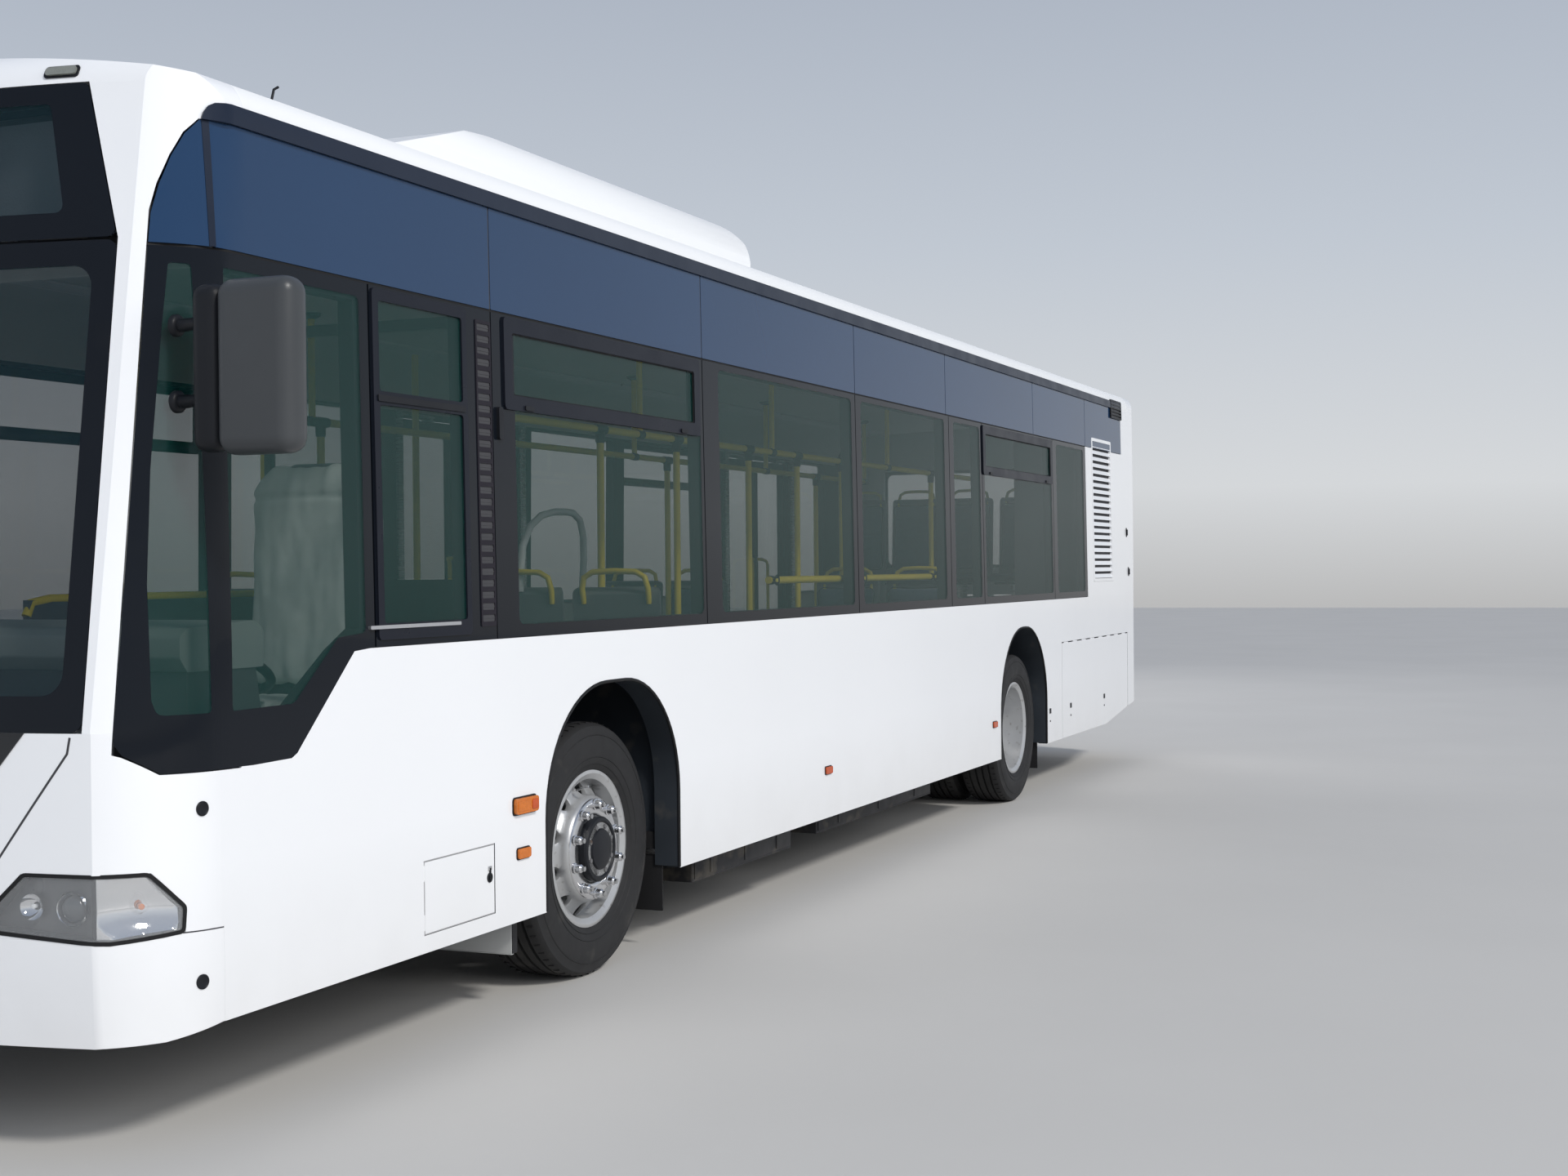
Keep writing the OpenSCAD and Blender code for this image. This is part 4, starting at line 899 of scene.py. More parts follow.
HL = rounded([(0.765, 0.605), (0.849, 0.692), (0.915, 0.755), (1.248, 0.752), (1.346, 0.657), (1.341, 0.592), (1.151, 0.578),
              (1.078, 0.582), (0.847, 0.601)], [0.008, 0.02, 0.02, 0.03, 0.02, 0.012, 0.02, 0.02, 0.01], 3)
lamp = Mesh("lamp_units")
for s in (1, -1):
    P = lambda d: flip_u(offset(HL, d), s)
    lamp.patch(P(-0.0045), WRAP, 0.0016, 0.014, M["rubber"], holes=[P(0.0055)], grid=0.05)
    lamp.patch(P(0.0058), WRAP, -0.0004, 0.0036, M["lens"], grid=0.03)
    lamp.patch(P(0.0060), WRAP, -0.0045, 0.060, M["lamp_bowl"], holes=[P(0.0085)], grid=0.05)
    # dark inner half with its plate, small reflector and projector
    inner = cut_u(offset(HL, 0.0085), 1.104, -1)
    lamp.patch(flip_u(inner, s), deep(WRAP, lambda u, v: 0.040 + 0.10 * max(0.0, 0.95 - abs(u))), 0, 0.004, M["lamp_bowl"], grid=0.02)
    # bright outer half: a fluted dish
    outer = cut_u(offset(HL, 0.0085), 1.117, 1)

    def dish(u, v):
        a, b = (abs(u) - 1.232) / 0.125, (v - 0.668) / 0.095
        d = min(1.0, a * a + b * b)
        return 0.014 + 0.040 * (1 - d) + 0.0010 * math.sin(abs(u) * 2 * math.pi / 0.014)
    lamp.patch(flip_u(outer, s), deep(WRAP, dish), 0, 0.003, M["chrome"], grid=0.007)
    # rib between the halves
    lamp.patch(flip_u(rect(1.104, 0.592, 1.117, 0.746), s), WRAP, -0.005, 0.056, M["black"], grid=0.05)
    for (u, v, r, dep, kind) in ((1.036, 0.664, 0.046, 0.050, 0), (0.925, 0.668, 0.034, 0.044, 1), (1.236, 0.664, 0.017, 0.044, 2)):
        p, n = numeric_normal(WRAP, s * u, v)
        c = p - n * dep
        if kind == 0:
            lamp.lathe([(r, 0.0), (r, 0.022), (r - 0.004, 0.026), (r - 0.009, 0.020), (r - 0.010, 0.004)], c, n, M["chrome"], n=40)
            lamp.lathe([(r - 0.010, 0.008), (r - 0.013, 0.017), (r - 0.022, 0.025), (r - 0.034, 0.029), (0, 0.030)], c, n, M["projector"], n=40)
        elif kind == 1:
            lamp.lathe([(r, 0.022), (r - 0.004, 0.016), (r - 0.014, 0.006), (r - 0.024, 0.001), (0, 0.0)], c, n, M["chrome"], n=36)
            lamp.lathe([(0.006, 0.0), (0.006, 0.014), (0, 0.016)], c, n, M["clear_lens"], n=14)
        else:
            lamp.lathe([(r, -0.006), (r, 0.016), (r - 0.004, 0.022), (0, 0.025)], c, n, M["lens"], n=24)
            lamp.lathe([(0.008, -0.006), (0.008, 0.012), (0, 0.016)], c, n, M["amber"], n=16)
for s in (1, -1):
    for z, mt in ((0.700, "clear_lens"), (0.830, "red"), (0.960, "amber"), (1.090, "red")):
        c = (XR, s * 1.020, z)
        lamp.lathe([(0.0462, -0.012), (0.0465, 0.0025), (0.0440, 0.0050), (0.0405, 0.0040), (0.0400, -0.012)], c, (-1, 0, 0), M["black"], n=48)
        lamp.lathe([(0.0400, -0.010), (0.0398, 0.001), (0.036, 0.004), (0.026, 0.0065), (0.012, 0.0078), (0, 0.008)], c, (-1, 0, 0), M[mt], n=48)
        lamp.lathe([(0.0400, -0.010), (0.0, -0.010)], c, (-1, 0, 0), M["black"], n=24)
lamp.done("body", "lamp_lens", smooth=40, replaces=("lamps",))

# roof edge marker lamps, repeaters and side markers
mk = Mesh("marker_lamps")
for s in (1, -1):
    q = flip_u(rect(0.822, 2.8600, 0.924, 2.8930, 0.010, 4), s)
    mk.patch(q, FRONT, 0.004, 0.004, M["black"], grid=0.03)
    mk.patch(flip_u(rect(0.828, 2.8655, 0.918, 2.8875, 0.008, 4), s), FRONT, 0.010, 0.0, M["smoke"], grid=0.03)
    q = [(-s * 0.70 + 0.07, 2.842), (-s * 0.70 - 0.07, 2.842), (-s * 0.70 - 0.07, 2.812), (-s * 0.70 + 0.07, 2.812)]
    mk.patch(rounded(q, 0.008, 3), REAR, 0.004, 0.002, M["black"])
    mk.patch(rounded([(a + (0.006 if a < -s * 0.70 else -0.006), b + (0.005 if b < 2.82 else -0.005)) for a, b in q], 0.006, 3), REAR, 0.010, 0.0, M["red"])
mk.patch(rect(-0.19, 2.425, 0.19, 2.452, 0.008, 4), REAR, 0.003, 0.002, M["black"])
mk.patch(rect(-0.182, 2.430, 0.182, 2.447, 0.006, 4), REAR, 0.008, 0.0, M["red"])
both_sides(mk, rect(3.873, 0.694, 4.034, 0.757, 0.014, 4), 0.0035, 0.002, M["black"])
both_sides(mk, rect(3.878, 0.699, 4.029, 0.752, 0.012, 4), 0.016, 0.0, M["amber"])
both_sides(mk, rect(3.886, 0.708, 3.926, 0.743, 0.008, 4), 0.0185, 0.0, M["amber_deep"])
both_sides(mk, rect(3.933, 0.708, 4.020, 0.743, 0.008, 4), 0.0175, 0.0, M["amber"])
for x, z, mt in ((3.965, 0.562, "amber"), (1.056, 0.558, "amber_deep"), (-1.797, 0.557, "amber_deep")):
    both_sides(mk, rect(x - 0.045, z - 0.021, x + 0.045, z + 0.021, 0.010, 4), 0.003, 0.002, M["black"])
    both_sides(mk, rect(x - 0.041, z - 0.017, x + 0.041, z + 0.017, 0.008, 4), 0.010, 0.0, M[mt])
mk.done("body", "lamp_lens", smooth=40)

# ================================================================ mirrors
mi = Mesh("mirror_units")
for s in (1, -1):
    mi.box((5.632, s * 1.400, 1.832), (5.734, s * 1.640, 2.284), M["mirror_shell"], r=0.044, seg=7)
    mi.box((5.6285, s * 1.444, 2.000), (5.6335, s * 1.597, 2.240), M["mirror"], r=0.002)
    mi.box((5.6285, s * 1.444, 1.876), (5.6335, s * 1.597, 1.985), M["mirror"], r=0.002)
    mi.box((5.6295, s * 1.438, 1.870), (5.6325, s * 1.603, 2.246), M["black"], r=0.001)
    mi.box((5.638, s * 1.318, 1.842), (5.724, s * 1.408, 2.276), M["black"], r=0.034, seg=5)
    for z in (2.18, 1.98):
        mi.tube([(5.655, s * 1.215, z), (5.657, s * 1.262, z), (5.668, s * 1.290, z), (5.676, s * 1.335, z)], [0.019, 0.018, 0.016, 0.016], M["black"], n=18)
    mi.lathe([(0.030, 0.0), (0.030, 0.010), (0.024, 0.016), (0.017, 0.018)], (5.655, s * 1.222, 2.18), (0, s, 0), M["black"], n=28)
    mi.lathe([(0.030, 0.0), (0.030, 0.010), (0.024, 0.016), (0.017, 0.018)], (5.655, s * 1.222, 1.98), (0, s, 0), M["black"], n=28)
mi.done("body", smooth=50, replaces=("mirrors",))

# ================================================================ wipers
wi = Mesh("wipers")


def above(surf, u, v, h):
    p, n = numeric_normal(surf, u, v)
    return p + n * h


for y0 in (0.44, -0.40):
    p, n = numeric_normal(FRONT, y0, 1.055)
    wi.lathe([(0.026, -0.004), (0.026, 0.012), (0.020, 0.022), (0.018, 0.036), (0.012, 0.040), (0, 0.041)], p, n, M["black"], n=28)
    arm = [above(FRONT, y0 - 0.02 - 0.40 * t, 1.058 + 0.125 * t, 0.034 - 0.010 * t + 0.012 * math.sin(math.pi * t)) for t in (0, 0.15, 0.35, 0.6, 0.85, 1)]
    wi.tube(arm, [0.010, 0.010, 0.008, 0.007, 0.006, 0.006], M["black"], n=10)
    blade = [(y0 + 0.02 - 0.86 * t, 1.150 + 0.055 * t) for t in [i / 10 for i in range(11)]]
    wi.tube([above(FRONT, a, b, 0.018) for a, b in blade], 0.0055, M["black"], n=8)
    wi.tube([above(FRONT, a, b, 0.009) for a, b in blade], 0.0040, M["rubber"], n=6, flat=2.0)
    for t in (0.2, 0.5, 0.8):
        a, b = y0 + 0.02 - 0.86 * t, 1.150 + 0.055 * t
        wi.tube([above(FRONT, a - 0.02, b, 0.020), above(FRONT, a, b + 0.001, 0.026), above(FRONT, a + 0.02, b, 0.020)], 0.0045, M["black"], n=8)
wi.done("body", smooth=40)

# ================================================================ joints of the body panels
jt = Mesh("panel_joints")


def seam(surf, pts, w=0.0035, h=0.0007, mat="seam", step=0.05):
    o = ribbon(densify_line(pts, step), w)
    jt.patch(o, surf, h, 0.001, M[mat])


def densify_line(pts, step):
    out = []
    for a, b in zip(pts, pts[1:]):
        k = max(1, int(math.ceil(math.hypot(b[0] - a[0], b[1] - a[1]) / step)))
        out += [(a[0] + (b[0] - a[0]) * t / k, a[1] + (b[1] - a[1]) * t / k) for t in range(k)]
    return out + [pts[-1]]


for s in (1, -1):
    f = lambda pts: [(s * u, v) for u, v in pts]
    seam(WRAP, f([(1.052, 1.110), (1.044, 1.068), (0.940, 0.925), (0.850, 0.800), (0.742, 0.640), (0.700, 0.589)]), 0.006)
    seam(WRAP, f([(1.338, 0.589), (1.400, 0.586), (1.476, 0.583)]), 0.0035)
    seam(WRAP, f([(0.768, 0.600), (0.700, 0.588), (0.350, 0.587), (0.0, 0.587)]), 0.004)
# sealant behind the joints of the panes, and under the covers
both_sides(jt, rect(-4.248, 2.3965, 5.676, 2.4035), -0.0025, 0.0075, M["rubber"], grid=0.10)
for x in (4.120, 2.430, 0.600, -0.950, -1.610, -3.300):
    both_sides(jt, rect(x - 0.0035, 1.303, x + 0.0035, 2.396), -0.0025, 0.0075, M["rubber"], sides=(1,))
for x in (2.430, -1.610):
    both_sides(jt, rect(x - 0.0035, 1.303, x + 0.0035, 2.396), -0.0025, 0.0075, M["rubber"], sides=(-1,))
for x in (4.120, 2.430, 0.600, -0.900, -2.810, -4.254):
    both_sides(jt, rect(x - 0.0038, 2.4045, x + 0.0038, 2.744), -0.0020, 0.0075, M["seam"])
both_sides(jt, rect(5.5285, 2.4045, 5.5355, 2.7435), -0.0020, 0.0060, M["seam"], grid=0.1)
# pale grey strip sunk in the gap round the service flap: a painted highlight standing for the lit edge of the gap
jt.patch(on_left(rect(4.1505, 0.3855, 4.5815, 0.6195)), LEFT, -0.0030, 0.0060, M["seam_light"], holes=[on_left(rect(4.1553, 0.3893, 4.5757, 0.6157))])
jt.done("body", smooth=30)

# ================================================================ louvred field on the left, end grilles of the gutters
lv = Mesh("radiator_louvres")
X0, X1 = -5.052, -4.478
lv.patch(on_left(rect(-5.076, 1.414, -4.454, 2.476, 0.012, 4)), LEFT, -0.0140, 0.0174, M["seam"])
lv.patch(on_left(rect(-5.079, 1.411, -4.451, 2.479, 0.014, 4)), LEFT, 0.0020, 0.0170, M["white"], holes=[on_left(rect(X0, 1.434, X1, 2.456, 0.008, 4))])
for i in range(21):
    z = 1.4375 + 0.0486 * i
    prof = [(0.0012, 0.000), (0.0012, 0.0035), (-0.0010, 0.0075), (-0.0100, 0.0285), (-0.0135, 0.0300), (-0.0135, 0.0255), (-0.0045, 0.0060), (-0.0040, 0.000)]
    vs = [(x, side_y(z + dz) + dy, z + dz) for x in (X0 - 0.001, X1 + 0.001) for dy, dz in prof]
    n = len(prof)
    lv.add(vs, [tuple(range(n - 1, -1, -1)), tuple(range(n, 2 * n))] + [(k, (k + 1) % n, n + (k + 1) % n, n + k) for k in range(n)], M["white"])
lv.done("body", "white_paint", smooth=30)

gg = Mesh("gutter_end_grilles")
both_sides(gg, rect(-5.440, 2.668, -5.080, 2.746, 0.006, 3), 0.004, 0.002, M["black"])
both_sides(gg, rect(-5.440, 2.668, -5.080, 2.808, 0.010, 3), 0.0125, 0.002, M["black"],
           holes=[rect(-5.426, 2.682 + 0.0245 * i, -5.094, 2.682 + 0.0245 * i + 0.012, 0.003, 2) for i in range(5)])
gg.done("body", smooth=30)

# ================================================================ wheel arches
ar = Mesh("arch_liners")


def arch_path(cx, w, top, z0, e, n=28):
    """Outline of a wheel arch: middle, half width, top, foot, half of the flat at the top."""
    zc, q = top - w + e, w - e
    h = n // 2
    return [(cx + w, z0)] + [(cx + w, z0 + (zc - z0) * t) for t in (0.5,)] + \
        [(cx + e + q * math.cos(math.pi * k / n), zc + q * math.sin(math.pi * k / n)) for k in range(h + 1)] + \
        [(cx - e + q * math.cos(math.pi * k / n), zc + q * math.sin(math.pi * k / n)) for k in range(h, n + 1)] + \
        [(cx - w, z0 + (zc - z0) * t) for t in (0.5,)] + [(cx - w, z0)]


def arch_sheet(cx, w, top, e, z0, z1, t, y0, y1, mat, s):
    """A curved sheet inside an arch of half width w, t thick, from y0 to y1; the rear leg starts at z1."""
    a = arch_path(cx, w, top, z0, e)
    b = arch_path(cx, w - t, top - t, z0, e)
    a[-1] = (a[-1][0], z1)
    b[-1] = (b[-1][0], z1)
    n = len(a)
    vs = [(x, s * y, z) for y in (y0, y1) for pts in (a, b) for x, z in pts]
    fs = []
    for i in range(n - 1):
        fs += [(i, i + 1, 2 * n + i + 1, 2 * n + i), (n + i, 3 * n + i, 3 * n + i + 1, n + i + 1),
               (i, n + i, n + i + 1, i + 1), (2 * n + i, 2 * n + i + 1, 3 * n + i + 1, 3 * n + i)]
    fs += [(0, 2 * n, 3 * n, n), (n - 1, 2 * n - 1, 4 * n - 1, 3 * n - 1)]
    ar.add(vs, fs, mat)


for s in (1, -1):
    arch_sheet(3.260, 0.5445, 1.1165, 0.078, 0.336, 0.336, 0.007, 1.166, 1.2735, M["liner"], s)
    arch_sheet(-2.500, 0.5565, 1.1365, 0.040, 0.336, 0.336, 0.007, 0.563, 1.2735, M["liner"], s)
    for cx, w, top, e in ((3.260, 0.541, 1.113, 0.078), (-2.500, 0.553, 1.133, 0.040)):
        ar.tube([(x, s * 1.2735, z) for x, z in arch_path(cx, w, top, 0.334, e)], 0.0065, M["rubber"], n=10)
    # closing plate behind the front arch, and the black faces of the housing
    pl = plane((0, s * 1.2145, 0), (-s, 0, 0), (0, 0, 1))
    g = lambda pts: [(-s * x, z) for x, z in pts]
    ar.patch(g([(2.702, 0.333), (2.702, 1.143), (3.863, 1.143), (3.863, 0.333)] + arch_path(3.260, 0.5445, 1.1165, 0.333, 0.078)), pl, 0, 0.006, M["liner"])
    ar.patch(g([(-3.088, 0.333), (-3.088, 1.163), (-1.862, 1.163), (-1.862, 0.333)] + arch_path(-2.500, 0.5565, 1.1365, 0.333, 0.040)), pl, 0, 0.006, M["liner"])
    for lo, hi in (((2.7005, 0.5010, 0.332), (2.7045, 1.208, 1.143)), ((3.8605, 0.5010, 0.332), (3.8645, 1.208, 1.143)),
                   ((2.7045, 0.5010, 1.1400), (3.8605, 1.208, 1.1445)), ((2.7045, 0.5005, 0.332), (3.8605, 0.5045, 1.1395)),
                   ((-3.086, 0.5610, 0.332), (-1.864, 0.5645, 1.163))):
        ar.box((lo[0], s * lo[1], lo[2]), (hi[0], s * hi[1], hi[2]), M["liner"], r=0.001, seg=1)
    # mud flaps behind the wheels
    ar.box((2.708, s * 0.870, 0.150), (2.716, s * 1.195, 0.470), M["rubber"], r=0.003)
    ar.box((2.704, s * 0.880, 0.380), (2.721, s * 1.190, 0.402), M["steel"], r=0.002)
    ar.box((-3.080, s * 0.620, 0.160), (-3.072, s * 1.200, 0.520), M["rubber"], r=0.003)
    ar.box((-3.085, s * 0.630, 0.400), (-3.067, s * 1.190, 0.422), M["steel"], r=0.002)
ar.done("body", smooth=32)

# ================================================================ small things on the sides
sm = Mesh("side_fittings")
for x in (-3.14, -3.71, -4.74):
    both_sides(sm, rect(x - 0.017, 0.528, x + 0.017, 0.562, 0.004, 3), 0.004, 0.0, M["black"], sides=(1, -1) if x > -3.2 else (-1,))
    both_sides(sm, rect(x - 0.006, 0.470, x + 0.006, 0.482, 0.003, 3), 0.003, 0.0, M["black"], sides=(1, -1) if x > -3.2 else (-1,))
for x, z in ((5.627, 0.908), (5.632, 0.451)):
    for s in (1, -1):
        y = left_y(x, z)
        p, n = numeric_normal(LEFT if s > 0 else RIGHT, -x if s > 0 else x, z)
        sm.lathe([(0.0200, -0.002), (0.0200, 0.0030), (0.0170, 0.0045), (0.0135, 0.0020), (0, 0.0012)], p, n, M["black"], n=28)
for x, z in ((-5.575, 1.790), (-5.622, 1.480)):
    both_sides(sm, rect(x - 0.013, z - 0.036, x + 0.013, z + 0.036, 0.011, 4), 0.004, 0.0, M["black"])
    both_sides(sm, rect(x - 0.006, z - 0.024, x + 0.006, z + 0.024, 0.005, 4), 0.012, 0.0, M["black"])
# ventilation slots behind the driver's window
both_sides(sm, rect(4.127, 1.345, 4.222, 2.360, 0.006, 3), 0.0035, 0.0, M["grille_grey"], sides=(1,),
           holes=[rect(4.136, 1.3605 + 0.0386 * i, 4.213, 1.3605 + 0.0386 * i + 0.0235, 0.004, 2) for i in range(26)])
both_sides(sm, rect(4.130, 1.350, 4.219, 2.355), 0.0006, 0.0, M["seam"], sides=(1,))
for i in range(26):
    z = 1.3605 + 0.0386 * i
    both_sides(sm, rect(4.136, z + 0.0100, 4.213, z + 0.0135), 0.0018, 0.0, M["seam"], sides=(1,))
# frames of the driver's sliding window and of the tilting top windows
both_sides(sm, rect(4.284, 1.322, 4.818, 2.388, 0.016, 4), 0.0060, 0.0, M["frame_grey"], sides=(1,),
           holes=[rect(4.312, 1.372, 4.786, 2.036, 0.012, 4), rect(4.312, 2.078, 4.786, 2.352, 0.012, 4)])
both_sides(sm, rect(4.360, 1.3555, 4.868, 1.3665, 0.003, 2), 0.0105, 0.0, M["alu"], sides=(1,))
both_sides(sm, rect(4.300, 2.046, 4.800, 2.066, 0.004, 2), 0.0105, 0.0, M["black"], sides=(1,))
hoppers = {1: ((4.047, 2.474, 2.076, 2.390), (-1.612, -3.268, 2.088, 2.388)), -1: ((3.985, 2.478, 2.076, 2.390), (-1.640, -3.170, 2.088, 2.388))}
for s, hs in hoppers.items():
    for a, b, z0, z1 in hs:
        both_sides(sm, rect(b, z0, a, z1, 0.018, 4), 0.0085, 0.0, M["frame_grey"], sides=(s,), holes=[rect(b + 0.052, z0 + 0.050, a - 0.052, z1 - 0.052, 0.012, 4)])
        both_sides(sm, rect(b + 0.042, z0 + 0.040, a - 0.042, z1 - 0.042, 0.014, 4), 0.0050, 0.0, M["rubber"], sides=(s,),
                   holes=[rect(b + 0.056, z0 + 0.054, a - 0.056, z1 - 0.056, 0.010, 4)])
        for xx in (a - 0.16, b + 0.16):
            both_sides(sm, rect(xx - 0.030, z0 + 0.004, xx + 0.030, z0 + 0.020, 0.005, 3), 0.0140, 0.0, M["black"], sides=(s,))
# catch on the pillar behind the vent slots
both_sides(sm, rect(4.066, 1.970, 4.094, 2.080, 0.008, 3), 0.012, 0.0, M["black"], sides=(1,))
# header strips over the doors
for xc in DOORS.values():
    sm.patch(rect(xc - 0.616, 2.3585, xc + 0.616, 2.4025, 0.003, 2), RIGHT, -0.0006, 0.0066, M["frit"])
sm.done("body", smooth=35)

# lock of the service flap
lk = Mesh("service_flap_lock")
p, n = numeric_normal(LEFT, -4.186, 0.510)
lk.lathe([(0.0165, -0.001), (0.0165, 0.003), (0.0125, 0.005), (0.0110, 0.002), (0, 0.002)], p, n, M["black"], n=28)
lk.box((4.182, 1.2765, 0.500), (4.190, 1.2805, 0.542), M["black"], r=0.0015)
lk.box((4.176, 1.2755, 0.534), (4.196, 1.2790, 0.548), M["steel"], r=0.001)
lk.done("service_flap", smooth=35)

# plugs and handles of the side flap
sf = Mesh("side_flap_fittings")
for x in (-3.71, -4.74):
    sf.patch(on_left(rect(x - 0.017, 0.528, x + 0.017, 0.562, 0.004, 3)), LEFT, 0.004, 0.0, M["black"])
    sf.patch(on_left(rect(x - 0.006, 0.470, x + 0.006, 0.482, 0.003, 3)), LEFT, 0.003, 0.0, M["black"])
sf.done("side_flap", smooth=35)

# ================================================================ door leaves
PDX, LEAF_OUT = 0.645, -1.265
for d, xc in DOORS.items():
    for e, tag in ((1, "a"), (-1, "b")):
        x0 = xc + e * PDX
        lo, hi = sorted((x0 - e * 0.042, x0 - e * 0.640))
        leaf = f"{d}_door_leaf_{tag}"
        P = plane((0, LEAF_OUT, 0), (1, 0, 0), (0, 0, 1))
        o = Mesh(leaf + "_frame")
        o.patch(rect(lo, 0.400, hi, 2.350, 0.014, 3), P, 0.0, 0.040, M["black"], holes=[rect(lo + 0.013, 0.413, hi - 0.013, 2.337, 0.020, 4)])
        o.patch(rect(lo + 0.012, 0.412, hi - 0.012, 2.338, 0.020, 4), P, -0.0085, 0.0395, M["black"], holes=[rect(lo + 0.052, 0.472, hi - 0.052, 2.288, 0.040, 5)])
        # rubber lips on the upright edges
        for xe, sg in ((x0 - e * 0.640, e), (x0 - e * 0.042, -e)):
            o.tube([(xe + sg * 0.0045, LEAF_OUT + 0.020, 0.412), (xe + sg * 0.0045, LEAF_OUT + 0.020, 2.338)], 0.0075, M["rubber"], n=12, flat=1.0)
        # rubber round the pane, inside
        o.patch(rect(lo + 0.047, 0.467, hi - 0.047, 2.293, 0.044, 5), P, -0.0390, 0.0425, M["rubber"], holes=[rect(lo + 0.056, 0.476, hi - 0.056, 2.284, 0.036, 5)])
        # grab bar on the inner face
        yb = LEAF_OUT + 0.040
        pts = [(0.600, yb - 0.004, 1.000), (0.585, yb + 0.012, 1.000), (0.530, yb + 0.018, 1.003), (0.508, yb + 0.038, 1.015), (0.500, yb + 0.046, 1.045)]
        path = [(x0 - e * a, b, c) for a, b, c in pts] + [(x0 - e * 0.500, yb + 0.046, z) for z in (1.15, 1.30, 1.45)] + \
               [(x0 - e * a, b, 2.60 - c) for a, b, c in pts[::-1]]
        o.tube(path, 0.0115, M["yellow"], n=14)
        for z in (1.000, 1.600):
            o.lathe([(0.020, -0.001), (0.020, 0.004), (0.0125, 0.007)], (x0 - e * 0.600, yb, z), (0, 1, 0), M["steel"], n=24)
        # hinge brackets and pins
        for z0, z1, p0, p1 in ((0.400, 0.414, 0.380, 0.406), (2.336, 2.350, 2.346, 2.372)):
            o.box((x0 - e * 0.310 - 0.016, yb - 0.002, z0), (x0 - e * 0.310 + 0.016, -1.154, z1), M["steel"], r=0.003)
            o.lathe([(0, p0), (0.007, p0), (0.008, p0 + 0.001), (0.008, p1 - 0.001), (0.007, p1), (0, p1)], (x0 - e * 0.310, -1.168, 0), (0, 0, 1), M["steel"], n=24)
        o.done(leaf, "black_plastic", smooth=35, replaces=(leaf,))
        g = Mesh(leaf + "_border")
        g.patch(rect(lo + 0.0135, 0.4135, hi - 0.0135, 2.3365, 0.019, 4), P, -0.0012, 0.0075, M["frit"], holes=[rect(lo + 0.060, 0.480, hi - 0.060, 2.280, 0.036, 5)])
        g.done(leaf, "dark_glass", smooth=35)
        g = Mesh(leaf + "_pane")
        g.patch(rect(lo + 0.060, 0.480, hi - 0.060, 2.280, 0.036, 5), P, -0.0016, 0.0070, M["glass"])
        g.done(leaf, "dark_glass", smooth=35)

# ================================================================ rear end, plates, roof
rl = Mesh("engine_lid_louvres")
rl.patch(rect(-0.600, 0.655, 0.600, 1.075, 0.020, 4), REAR, 0.0030, 0.001, M["seam"])
rl.patch(rect(-0.610, 0.645, 0.610, 1.085, 0.026, 4), REAR, 0.0070, 0.001, M["white"], holes=[rect(-0.592, 0.663, 0.592, 1.067, 0.016, 4)])
for i in range(11):
    z = 0.668 + 0.0365 * i
    prof = [(0.0085, 0.000), (0.0085, 0.004), (0.0060, 0.010), (0.0028, 0.024), (0.0028, 0.020), (0.0045, 0.004)]
    for y0, y1 in ((-0.592, -0.200), (-0.190, 0.190), (0.200, 0.592)):
        vs = [(XR - dx, y, z + dz) for y in (y0, y1) for dx, dz in prof]
        n = len(prof)
        rl.add(vs, [tuple(range(n - 1, -1, -1)), tuple(range(n, 2 * n))] + [(k, (k + 1) % n, n + (k + 1) % n, n + k) for k in range(n)], M["white"])
for y in (-0.195, 0.195):
    rl.box((XR - 0.0070, y - 0.0055, 0.663), (XR, y + 0.0055, 1.067), M["white"], r=0.001)
rl.patch(rect(-0.085, 0.578, 0.085, 0.618, 0.012, 4), REAR, 0.0030, 0.001, M["black"])
rl.tube([(XR - 0.002, -0.062, 0.598), (XR - 0.016, -0.055, 0.598), (XR - 0.018, 0, 0.598), (XR - 0.016, 0.055, 0.598), (XR - 0.002, 0.062, 0.598)], 0.0055, M["black"], n=10)
for y in (-0.62, 0.62):
    rl.lathe([(0.014, 0), (0.014, 0.003), (0.010, 0.0045), (0, 0.003)], (XR, y, 0.598), (-1, 0, 0), M["black"], n=24)
rl.done("engine_lid", "white_paint", smooth=35)

rp = Mesh("plates_and_rear_fittings")
rp.patch(rect(-0.262, 1.325, 0.262, 1.435, 0.008, 4), plane((XR + 0.012, 0, 0), (0, -1, 0), (0, 0, 1)), 0.003, -0.0003, M["plate"])
rp.patch(rect(-0.258, 1.329, 0.258, 1.431, 0.006, 4), plane((XR + 0.012, 0, 0), (0, -1, 0), (0, 0, 1)), 0.0042, -0.0028, M["plate"], holes=[rect(-0.252, 1.335, 0.252, 1.425, 0.004, 4)])
rp.patch(rect(-0.262, 0.400, 0.262, 0.510, 0.008, 4), plane((XF - 0.012, 0, 0), (0, 1, 0), (0, 0, 1)), 0.003, -0.0003, M["plate"])
rp.patch(rect(-0.258, 0.404, 0.258, 0.506, 0.006, 4), plane((XF - 0.012, 0, 0), (0, 1, 0), (0, 0, 1)), 0.0042, -0.0028, M["plate"], holes=[rect(-0.252, 0.410, 0.252, 0.500, 0.004, 4)])
for y in (-0.13, 0.13):
    rp.box((XR - 0.018, y - 0.035, 1.446), (XR + 0.002, y + 0.035, 1.462), M["black"], r=0.004)
